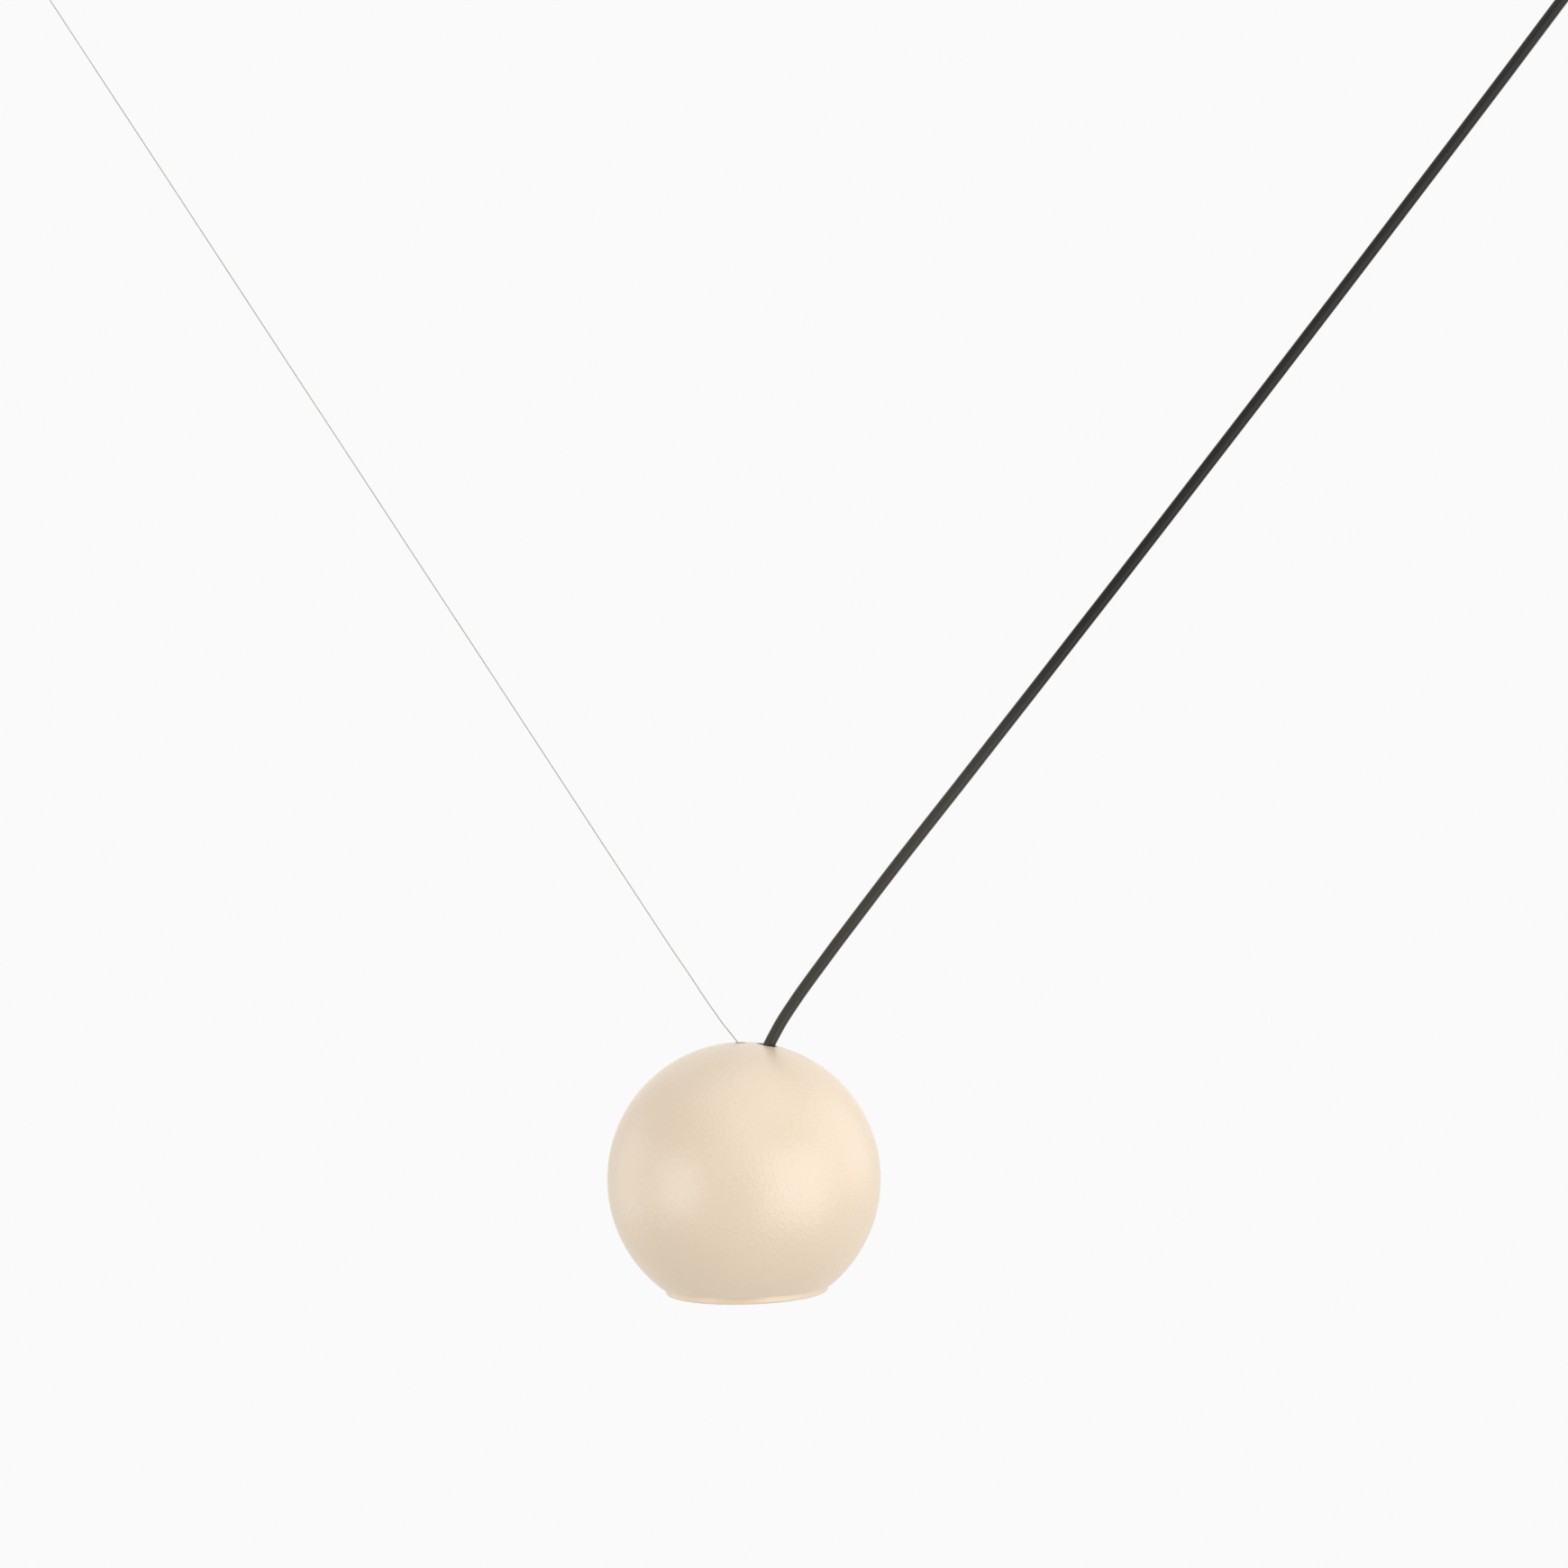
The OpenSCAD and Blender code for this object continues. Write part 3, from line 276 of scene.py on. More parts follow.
@dataclass(frozen=True)
class PowderCoat(Finish):
    """Baked powder: an orange-peel surface with a finer grit on it.

    Attributes:
        grit_mm: Size of the grit.
        grit_share: Share of the grit in the height.
    """

    grit_mm: float = 0.6
    grit_share: float = 0.3

    def height(self, tree: bpy.types.NodeTree, where: bpy.types.NodeSocket) -> bpy.types.NodeSocket:
        """Lay the grit over the peel.

        Args:
            tree: Node tree of the material.
            where: Coordinates of the pattern.

        Returns:
            Height, from 0 to 1.
        """
        layers = []
        for size in (self.grain_mm, self.grit_mm):
            values = {"Vector": where, "Scale": 1 / (size * MM), "Detail": 1.0}
            layers.append(add(tree, "ShaderNodeTexNoise", values).outputs[0])
        values = {MIX_SHARE: self.grit_share, MIX_FLOAT_A: layers[0], MIX_FLOAT_B: layers[1]}
        return add(tree, "ShaderNodeMix", values, data_type="FLOAT").outputs[0]


@dataclass(frozen=True)
class CableSheath(Finish):
    """Soft plastic on a cable, with a painted reflection: a paler grey towards its lower end.

    Attributes:
        painted_reflection_grey: Colour of the lower end, sRGB hex; a painted reflection, paler than
            the sheath.
        painted_reflection_from: Distance along the cable where the painted reflection starts, in
            metres.
        painted_reflection_to: Distance where the painted reflection is full, in metres.
    """

    painted_reflection_grey: str = "#3D3933"
    painted_reflection_from: float = 0.47
    painted_reflection_to: float = 0.62

    def tone(self, tree: bpy.types.NodeTree, where: bpy.types.NodeSocket) -> bpy.types.NodeSocket:
        """Paint a reflection along the cable: a paler grey towards its lower end.

        Args:
            tree: Node tree of the material.
            where: Coordinates of the pattern.

        Returns:
            Colour of the surface.
        """
        plain = super().tone(tree, where)
        coords = add(tree, "ShaderNodeTexCoord").outputs["UV"]
        along = add(tree, "ShaderNodeSeparateXYZ", {0: coords}).outputs["Y"]
        values = {"Value": along, "From Min": self.painted_reflection_from, "From Max": self.painted_reflection_to}
        share = add(tree, "ShaderNodeMapRange", values, interpolation_type="SMOOTHSTEP").outputs[0]
        # Painted reflection: the lower end of the cable is mixed to a paler grey that stands in for
        # the brighter reflection it shows there
        values = {MIX_SHARE: share, MIX_COLOUR_A: plain, MIX_COLOUR_B: linear(self.painted_reflection_grey)}
        mixed = add(tree, "ShaderNodeMix", values, data_type="RGBA")
        return mixed.outputs[MIX_COLOUR_OUT]


@dataclass(frozen=True)
class SpunMetal(Finish):
    """Metal spun or turned about the lamp axis, with rings around it."""

    def where(self, tree: bpy.types.NodeTree) -> bpy.types.NodeSocket:
        """Return coordinates that start at the lamp."""
        coords = add(tree, "ShaderNodeTexCoord").outputs[self.place.value]
        return add(tree, "ShaderNodeMapping", {"Vector": coords, "Location": -LAMP * MM}).outputs[0]

    def height(self, tree: bpy.types.NodeTree, where: bpy.types.NodeSocket) -> bpy.types.NodeSocket:
        """Turn rings at the pitch of the grain.

        Args:
            tree: Node tree of the material.
            where: Coordinates of the pattern.

        Returns:
            Height, from 0 to 1.
        """
        # At a scale of 1 the rings of a wave texture are pi / 10 apart
        scale = math.pi / 10 / (self.grain_mm * MM)
        values = {"Vector": where, "Scale": scale, "Distortion": 0.4}
        settings = {"wave_type": "RINGS", "rings_direction": "Z"}
        return add(tree, "ShaderNodeTexWave", values, **settings).outputs["Fac"]


@dataclass(frozen=True)
class KnurledMetal(Finish):
    """Turned metal with a band of diamond knurling about the wire's axis.

    Attributes:
        radius_mm: Radius of the knurled surface.
        teeth: Diamonds around it.
        band_mm: Start and end of the band, along the wire from its swivel.
        ramp_mm: Length over which the knurling runs out.
    """

    radius_mm: float = 4.5
    teeth: int = 36
    band_mm: tuple[float, float] = (14.5, 28.5)
    ramp_mm: float = 0.5

    def where(self, tree: bpy.types.NodeTree) -> bpy.types.NodeSocket:
        """Turn the coordinates to start at the swivel and run down the wire.

        Args:
            tree: Node tree of the material.

        Returns:
            Coordinates of the pattern.
        """
        coords = add(tree, "ShaderNodeTexCoord").outputs[self.place.value]
        values = {
            "Vector": coords, "Location": (ANCHOR_X * MM, 0, SWIVEL_Z * MM),
            "Rotation": (0, math.pi - WIRE_LEAN, 0),
        }
        return add(tree, "ShaderNodeMapping", values, vector_type="TEXTURE").outputs[0]

    def height(self, tree: bpy.types.NodeTree, where: bpy.types.NodeSocket) -> bpy.types.NodeSocket:
        """Cut two sets of crossing grooves, within the band.

        Args:
            tree: Node tree of the material.
            where: Coordinates of the pattern.

        Returns:
            Height, from 0 to 1.
        """
        x, y, z = add(tree, "ShaderNodeSeparateXYZ", {0: where}).outputs
        turn = add(tree, "ShaderNodeMath", {0: y, 1: x}, operation="ARCTAN2").outputs[0]
        values = {0: turn, 1: self.teeth / 2}
        around = add(tree, "ShaderNodeMath", values, operation="MULTIPLY").outputs[0]
        values = {0: z, 1: self.teeth / 2 / (self.radius_mm * MM)}
        along = add(tree, "ShaderNodeMath", values, operation="MULTIPLY").outputs[0]
        grooves = {}
        for i, way in enumerate(("ADD", "SUBTRACT")):
            slant = add(tree, "ShaderNodeMath", {0: around, 1: along}, operation=way).outputs[0]
            wave = add(tree, "ShaderNodeMath", {0: slant}, operation="SINE").outputs[0]
            grooves[i] = add(tree, "ShaderNodeMath", {0: wave}, operation="ABSOLUTE").outputs[0]
        height = add(tree, "ShaderNodeMath", grooves, operation="MINIMUM").outputs[0]
        start, end = self.band_mm
        for low, high in ((start - self.ramp_mm, start), (end + self.ramp_mm, end)):
            values = {"Value": z, "From Min": low * MM, "From Max": high * MM}
            values = {0: height, 1: add(tree, "ShaderNodeMapRange", values).outputs[0]}
            height = add(tree, "ShaderNodeMath", values, operation="MULTIPLY").outputs[0]
        return height


# Polyester powder on spun aluminium: a satin cream with soft highlights, broken up by an orange
# peel. The IOR of polyester is 1.5 and is raised here to give the highlights the strength they
# have in the photograph. Real peel is about 1 mm wide and a few hundredths deep, and is drawn
# wider and deeper so that it shows in the render
CREAM_POWDER = PowderCoat(
    "powder_coated_aluminium", "cream_powder_coat", "#EDD8BC", "#EBD5B8",
    roughness=0.33, spread=0.06, grain_mm=2.0, depth_mm=0.35, patch_mm=45.0,
    sockets=(("IOR", 2.0),),
)
# Bright zinc on pressed steel: cool grey with soft blotches from the bath
ZINC_STEEL = Finish(
    "bright_zinc_on_steel", "zinc_plated_steel", "#B3B7BB", "#9CA1A8",
    roughness=0.34, spread=0.07, grain_mm=0.8, depth_mm=0.004, patch_mm=6.0, metallic=1.0,
)
# Satin nickel on turned brass: warm grey with a fine haze
NICKEL_BRASS = Finish(
    "satin_nickel_on_brass", "nickel_plated_brass", "#B3ADA3", "#A39D93",
    roughness=0.28, spread=0.06, grain_mm=0.6, depth_mm=0.006, patch_mm=9.0, metallic=1.0,
    stretch=(1.0, 1.0, 6.0),
)
# The same nickel on the gripper's barrel, knurled for the fingers
KNURLED_NICKEL = KnurledMetal(
    "knurled_nickel_on_brass", "nickel_plated_brass", "#B3ADA3", "#A39D93",
    roughness=0.3, spread=0.05, grain_mm=0.8, depth_mm=0.2, patch_mm=9.0, metallic=1.0,
)
# Drawn stainless strand: pale grey, with draw lines along each wire
STAINLESS_WIRE = Finish(
    "stainless_wire_rope", "stainless_wire", "#BDB7AD", "#9D978E",
    roughness=0.32, spread=0.06, grain_mm=0.3, depth_mm=0.002, patch_mm=14.0, metallic=1.0,
    place=Place.UV, stretch=(1.0, 0.1, 1.0),
)
# Ground stainless steel of the balls and the spring: bright and smooth
STAINLESS_BALLS = Finish(
    "ground_stainless_steel", "stainless_wire", "#C6C4C0", "#B4B1AC",
    roughness=0.2, spread=0.04, grain_mm=0.2, depth_mm=0.001, patch_mm=1.5, metallic=1.0,
)
# Bare turned brass: yellow, with faint tool lines and a little tarnish
TURNED_BRASS = Finish(
    "turned_brass", "brass", "#D8B46A", "#B98F48",
    roughness=0.3, spread=0.06, grain_mm=0.3, depth_mm=0.003, patch_mm=3.0, metallic=1.0,
    stretch=(0.5, 0.5, 5.0),
)
# Extruded soft PVC: black and satin, with faint lines along the cable from the die. Its gloss is
# below that of plain PVC, so that the cable stays as dark as in the photograph
BLACK_PVC = CableSheath(
    "extruded_black_pvc", "black_pvc", "#0F0C09", "#171310",
    roughness=0.2, spread=0.04, grain_mm=0.7, depth_mm=0.008, patch_mm=22.0,
    place=Place.UV, stretch=(1.0, 0.06, 1.0), sockets=(("Specular IOR Level", 0.26),),
)
# Thin PVC on the single cores: glossier than the sheath, in the usual core colours
BLUE_PVC = Finish(
    "extruded_blue_pvc", "blue_pvc", "#3C64A8", "#33568F",
    roughness=0.3, spread=0.05, grain_mm=0.4, depth_mm=0.006, patch_mm=10.0,
    place=Place.UV, stretch=(1.0, 0.1, 1.0),
)
RED_PVC = Finish(
    "extruded_red_pvc", "red_pvc", "#A83A33", "#8C302B",
    roughness=0.3, spread=0.05, grain_mm=0.4, depth_mm=0.006, patch_mm=10.0,
    place=Place.UV, stretch=(1.0, 0.1, 1.0),
)
# Injection-moulded nylon: off-white with a fine spark-eroded texture
WHITE_NYLON = Finish(
    "moulded_white_nylon", "white_nylon", "#E9E8E4", "#E0DED8",
    roughness=0.48, spread=0.06, grain_mm=0.5, depth_mm=0.01, patch_mm=12.0,
)
# Die-cast aluminium: matt grey with flow marks
CAST_ALUMINIUM = Finish(
    "die_cast_aluminium", "cast_aluminium", "#B4B5B7", "#A0A2A5",
    roughness=0.45, spread=0.08, grain_mm=0.9, depth_mm=0.012, patch_mm=8.0, metallic=1.0,
)
# White solder mask on an aluminium board: smooth and slightly glossy
SOLDER_MASK = Finish(
    "white_solder_mask", "board_aluminium", "#F1F0EC", "#E9E8E3",
    roughness=0.33, spread=0.04, grain_mm=0.35, depth_mm=0.004, patch_mm=5.0,
)
# Phosphor in clear silicone: deep yellow and grainy
PHOSPHOR = Finish(
    "phosphor_silicone", "phosphor", "#E9C24A", "#DDB238",
    roughness=0.4, spread=0.08, grain_mm=0.15, depth_mm=0.01, patch_mm=1.0,
)
# Spun and bright-anodised aluminium: near mirror, with fine spinning rings
BRIGHT_ALUMINIUM = SpunMetal(
    "spun_bright_aluminium", "bright_aluminium", "#E6E6E6", "#DCDDDF",
    roughness=0.16, spread=0.04, grain_mm=0.5, depth_mm=0.003, patch_mm=20.0, metallic=1.0,
)
# Opal acrylic: milky, lets light through and is slightly frosted below
OPAL_ACRYLIC = Finish(
    "frosted_opal_acrylic", "opal_acrylic", "#F4F2EC", "#EFEDE6",
    roughness=0.35, spread=0.05, grain_mm=0.3, depth_mm=0.004, patch_mm=15.0,
    sockets=(("Subsurface Weight", 0.6), ("Subsurface Radius", (0.004, 0.004, 0.004)),
             ("Subsurface Scale", 1.0), ("IOR", 1.49)),
)
# Moulded silicone: grey, matt and slightly dusty
GREY_SILICONE = Finish(
    "moulded_grey_silicone", "grey_silicone", "#949492", "#858583",
    roughness=0.62, spread=0.06, grain_mm=0.4, depth_mm=0.008, patch_mm=7.0,
)


def dress(node: str, finish: Finish) -> None:
    """Give a CAD node its finish.

    Args:
        node: Name of the node.
        finish: Finish for the whole node.
    """
    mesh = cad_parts[node].data
    mesh.materials.clear()
    mesh.materials.append(finish.material())
    log.info("dressed %s in %s", node, finish.name)


def finished(
    bm: bmesh.types.BMesh, name: str, finish: Finish, smooth: float = 40.0
) -> bpy.types.Object:
    """Turn a bmesh in millimetres into a dressed object at the origin.

    Args:
        bm: Mesh to take over; it is freed.
        name: Name of the piece.
        finish: Finish of the piece.
        smooth: Sharpest angle in degrees that is still shaded smooth.

    Returns:
        The new object.
    """
    bmesh.ops.remove_doubles(bm, verts=bm.verts, dist=MERGE)
    bmesh.ops.recalc_face_normals(bm, faces=bm.faces)
    for face in bm.faces:
        face.smooth = True
    for edge in bm.edges:
        edge.smooth = len(edge.link_faces) == 2 and edge.calc_face_angle() < math.radians(smooth)
    bmesh.ops.scale(bm, vec=(MM, MM, MM), verts=bm.verts)
    mesh = bpy.data.meshes.new(name)
    bm.to_mesh(mesh)
    bm.free()
    mesh.materials.append(finish.material())
    piece = bpy.data.objects.new(name, mesh)
    bpy.context.scene.collection.objects.link(piece)
    return piece


def smoothed(points: Sequence[Vector], step: float) -> list[Vector]:
    """Run a smooth curve through the points of a route.

    Args:
        points: Route, in millimetres.
        step: Longest distance between two points of the curve.

    Returns:
        Points of the curve, the route's own among them.
    """
    ends = [2 * points[0] - points[1], *points, 2 * points[-1] - points[-2]]
    curve = [points[0].copy()]
    for a, b, c, d in zip(ends, ends[1:], ends[2:], ends[3:]):
        count = max(1, math.ceil((c - b).length / step))
        for i in range(1, count + 1):
            t = i / count
            curve.append(
                0.5 * (2 * b + (c - a) * t + (2 * a - 5 * b + 4 * c - d) * t**2
                       + (3 * b - a - 3 * c + d) * t**3)
            )
    return curve


def sweep(
    bm: bmesh.types.BMesh, path: Sequence[Vector], radii: Sequence[float], twist: float = 0.0
) -> None:
    """Wrap a grid around a path as a closed tube, with a UV map in metres around and along.

    Args:
        bm: Mesh that gets the tube, in millimetres.
        path: Ring centres.
        radii: Radius of each vertex of the ring, in order.
        twist: Turn of the ring at each step of the path, in radians.
    """
    sides, steps = len(radii), len(path) - 1
    tube = bmesh.ops.create_grid(bm, x_segments=sides, y_segments=steps, size=0.5)["verts"]
    cells = {v: (round((v.co.x + 0.5) * sides), round((v.co.y + 0.5) * steps)) for v in tube}
    heading = path[1] - path[0]
    turns, along = [heading.to_track_quat("Z", "Y").to_matrix()], [0.0]
    for i in range(1, steps + 1):
        ahead = path[min(i + 1, steps)] - path[i - 1]
        turn = heading.rotation_difference(ahead).to_matrix() @ turns[-1]
        turns.append(Matrix.Rotation(twist, 3, ahead) @ turn)
        along.append(along[-1] + (path[i] - path[i - 1]).length * MM)
        heading = ahead
    uv = bm.loops.layers.uv.verify()
    width = math.tau * sum(radii) / sides**2 * MM
    for vert, (k, i) in cells.items():
        angle = math.tau * k / sides
        reach = radii[k % sides] * Vector((math.cos(angle), math.sin(angle), 0))
        vert.co = path[i] + turns[i] @ reach
        for loop in vert.link_loops:
            loop[uv].uv = (k * width, along[i])
    bmesh.ops.remove_doubles(bm, verts=tube, dist=MERGE)
    rims = [e for v in tube if v.is_valid for e in v.link_edges if e.is_boundary]
    bmesh.ops.holes_fill(bm, edges=list(set(rims)), sides=0)


def in_plane(route: Sequence[tuple[float, float]], step: float) -> list[Vector]:
    """Return the smooth curve through a route of X and Z in the lamp's plane."""
    return smoothed([Vector((x, 0.0, z)) for x, z in route], step)


def standing(place: Vector, way: Vector) -> Matrix:
    """Return the placement that moves the origin to a place and turns Z to a direction."""
    return Matrix.Translation(place) @ way.to_track_quat("Z", "Y").to_matrix().to_4x4()


def ride(piece: bpy.types.Object, body: Body, *nodes: str) -> bpy.types.Object:
    """Put a piece on a body in place of CAD nodes.

    Args:
        piece: Piece to place.
        body: Body that carries it.
        *nodes: Nodes that it stands for.

    Returns:
        The same piece.
    """
    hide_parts(*nodes)
    log.info("built %s on %s", piece.name, body.value)
    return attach(piece, body.value)


@dataclass
class Assembly:
    """A sub-assembly of the lamp. Its sizes are in millimetres.

    Attributes:
        finishes: Finish of each CAD node that stays.
    """

    finishes: dict[str, Finish] = field(default_factory=dict)

    def build(self) -> None:
        """Build the pieces that stand for CAD nodes, where there are any."""

    def dress(self) -> None:
        """Give the CAD nodes that stay their finishes."""
        for node, finish in self.finishes.items():
            dress(node, finish)


@dataclass
class PowerCable(Assembly):
    """Round black mains cable from the rose down into the crown of the ball.

    Attributes:
        radius: Radius of the sheath.
        sides: Vertices around it.
        step: Longest distance between two rings.
        exit: Where it leaves the swivel of the rose, in metres. Not used.
    """

    radius: float = CABLE_R
    sides: int = 32
    step: float = 4.0
    exit: tuple[float, float, float] = (-0.0069, 0.0, -0.0347)

    def build(self) -> None:
        """Build the free cable and its end inside the ball."""
        path = in_plane(CABLE_ROUTE, self.step)
        bm = bmesh.new()
        sweep(bm, path, [self.radius] * self.sides)
        cable = ride(finished(bm, "cable_sheath", BLACK_PVC), Body.SUSPENSION, "power_cable")
        inner = [(LAMP.x + x, LAMP.z + ROCK_Z + z) for x, z in TAIL_ROUTE]
        bm = bmesh.new()
        sweep(bm, in_plane(inner, self.step), [self.radius] * self.sides)
        ride(finished(bm, "cable_sheath_in_ball", BLACK_PVC), Body.HEAD, "cable_tail")


@dataclass
class SuspensionWire(Assembly):
    """Steel strand of six wires laid around one, from the gripper to the nipple.

    Attributes:
        radius: Radius of the strand.
        wires: Wires around the middle one.
        lay: Length in which they go around once.
        steps_per_lay: Rings in that length.
        exit: Where it leaves the gripper, in metres. Not used.
    """

    radius: float = 0.3
    wires: int = 6
    lay: float = 8.0
    steps_per_lay: int = 16
    exit: tuple[float, float, float] = (-0.82254, 0.0, -0.05286)

    def outline(self) -> list[float]:
        """Work out the outline of the strand.

        Returns:
            Radii of a ring: crest, flank, groove and flank of each outer wire.
        """
        wire = self.radius / 3
        centre_r = 2 * wire
        groove = math.pi / self.wires
        off = centre_r * math.sin(groove / 2)
        flank_r = centre_r * math.cos(groove / 2) + math.sqrt(wire**2 - off**2)
        groove_r = centre_r * math.cos(groove)
        return [self.radius, flank_r, groove_r, flank_r] * self.wires

    def build(self) -> None:
        path = in_plane(WIRE_ROUTE, self.lay / self.steps_per_lay)
        bm = bmesh.new()
        sweep(bm, path, self.outline(), twist=math.tau / self.steps_per_lay)
        wire = finished(bm, "wire_strand", STAINLESS_WIRE, smooth=75.0)
        ride(wire, Body.SUSPENSION, "suspension_wire")


@dataclass
class Screw:
    """A button-head screw with a six-sided socket.

    Attributes:
        seat: Middle of the face under the head, in millimetres.
        way: Direction that the thread points in.
        length: Length under the head.
        radius: Radius of the thread.
        head_r: Radius of the head.
        head_t: Height of the head.
        steps: Vertices around the screw.
        button: Outline of the head from its top to its seat, as shares of radius and height.
        socket: Radius of the socket, as a share of the head's.
        depth: Depth of the socket, as a share of the head's height.
        chamfer: Chamfer at the end, as a share of the thread's radius.
    """

    seat: Vector
    way: Vector
    length: float
    radius: float = 1.5
    head_r: float = 2.7
    head_t: float = 2.0
    steps: int = 24
    button: tuple[tuple[float, float], ...] = ((0.72, 0.94), (0.93, 0.72), (1.0, 0.4), (1.0, 0.0))
    socket: float = 0.5
    depth: float = 0.6
    chamfer: float = 0.25

    def build(self, bm: bmesh.types.BMesh) -> None:
        """Spin the screw's profile, sink its socket and place it.

        Args:
            bm: Mesh that gets the screw.
        """
        chamfer = self.chamfer * self.radius
        profile = (
            (self.socket * self.head_r, -self.head_t),
            *((share * self.head_r, -height * self.head_t) for share, height in self.button),
            (self.radius, 0.0),
            (self.radius, self.length - chamfer), (self.radius - chamfer, self.length),
        )
        start = [bm.verts.new((r, 0.0, z)) for r, z in profile]
        lines = [bm.edges.new(pair) for pair in zip(start, start[1:])]
        before = set(bm.verts) - set(start)
        bmesh.ops.spin(
            bm, geom=start + lines, axis=(0, 0, 1), cent=(0, 0, 0), angle=math.tau,
            steps=self.steps, use_merge=True,
        )
        made = [v for v in bm.verts if v not in before]
        rim = [e for e in bm.edges if e.is_boundary and e.verts[0] in set(made)]
        top = [e for e in rim if e.verts[0].co.z < 0]
        bmesh.ops.contextual_create(bm, geom=[e for e in rim if e.verts[0].co.z > 0])
        sixth = math.pi / 3
        for vert in {v for e in top for v in e.verts}:
            off = math.atan2(vert.co.y, vert.co.x) % sixth - sixth / 2
            vert.co.xy *= math.cos(sixth / 2) / math.cos(off)
        walls = bmesh.ops.extrude_edge_only(bm, edges=top)["geom"]
        floor = [g for g in walls if isinstance(g, bmesh.types.BMVert)]
        bmesh.ops.translate(bm, vec=(0, 0, self.depth * self.head_t), verts=floor)
        bmesh.ops.contextual_create(
            bm, geom=[g for g in walls if isinstance(g, bmesh.types.BMEdge) and g.is_boundary]
        )
        made = [v for v in bm.verts if v not in before]
        bmesh.ops.transform(bm, matrix=standing(self.seat, self.way), verts=made)


def build_screws(
    name: str, node: str, body: Body, screws: Sequence[Screw], finish: Finish
) -> None:
    """Build the screws that stand for one CAD node.

    Args:
        name: Name of the piece.
        node: Node of the screws.
        body: Body that carries them.
        screws: The screws.
        finish: Finish of all of them.
    """
    bm = bmesh.new()
    for screw in screws:
        screw.build(bm)
    ride(finished(bm, name, finish, smooth=35.0), body, node)


def build_leads(
    name: str, routes: Sequence[Sequence[Vector]], radius: float, finish: Finish
) -> bpy.types.Object:
    """Build a set of insulated cores.

    Args:
        name: Name of the piece.
        routes: Route of each core, in millimetres.
        radius: Radius of a core.
        finish: Finish of the insulation.

    Returns:
        The new piece, which rides on nothing yet.
    """
    bm = bmesh.new()
    for route in routes:
        sweep(bm, smoothed(route, 2 * radius), [radius] * CORE_SIDES)
    return finished(bm, name, finish)


@dataclass
class CeilingRose(Assembly):
    """Rose on the ceiling: bracket, cup, cable swivel and supply terminal.

    Attributes:
        cup_r: Radius of the cup.
        screw_z: Height of the screws in its side.
        screw_length: Their length under the head.
        screw_r: Radius of their thread.
        screw_head_r: Radius of their head.
        core_r: Radius of a supply core.
        core_pitch: Distance between the cores in the cable.
        pole_pitch: Distance between the poles of the terminal.
        cable_up: How far the cable goes up past the middle of the swivel.
        entry: Where the cores enter the terminal, as X and Z.
    """

    cup_r: float = 52.0
    screw_z: float = -9.0
    screw_length: float = 5.134
    screw_r: float = 2.0
    screw_head_r: float = 3.6
    core_r: float = 0.9
    core_pitch: float = 1.9
    pole_pitch: float = 8.0
    cable_up: float = 13.0
    entry: tuple[float, float] = (21.95, -6.0)
    finishes: dict[str, Finish] = field(default_factory=lambda: {
        "rose_bracket": ZINC_STEEL, "rose_cup": CREAM_POWDER, "swivel_seat": CREAM_POWDER,
        "seat_nut": ZINC_STEEL, "supply_terminal": WHITE_NYLON, "swivel_ball": CREAM_POWDER,
        "grub_screw": ZINC_STEEL,
    })

    def build(self) -> None:
        """Build the cup screws and the supply cores."""
        screws = [
            Screw(Vector((0, side * self.cup_r, self.screw_z)), Vector((0, -side, 0)),
                  self.screw_length, self.screw_r, self.screw_head_r)
            for side in (-1, 1)
        ]
        build_screws("cup_button_screws", "cup_screws", Body.CEILING, screws, ZINC_STEEL)
        along = Vector((math.sin(CABLE_LEAN), 0, math.cos(CABLE_LEAN)))
        top = Vector((0, 0, SWIVEL_Z)) + self.cable_up * along
        routes = []
        for k in (-1, 0, 1):
            start = top + Vector((0, k * self.core_pitch, 0))
            end = Vector((self.entry[0], k * self.pole_pitch, self.entry[1]))
            routes.append((
                start, start + self.core_r * along,
                start.lerp(end, 1 / 3) + Vector((0, 0, self.core_r)),
                start.lerp(end, 2 / 3) + Vector((0, k * self.core_r, self.core_r)),
                end - Vector((self.core_r, 0, 0)), end,
            ))
        cores = build_leads("supply_core_wires", routes, self.core_r, BLUE_PVC)
        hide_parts("supply_cores")
        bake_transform(cores)
        log.info("built %s between ceiling and suspension", cores.name)


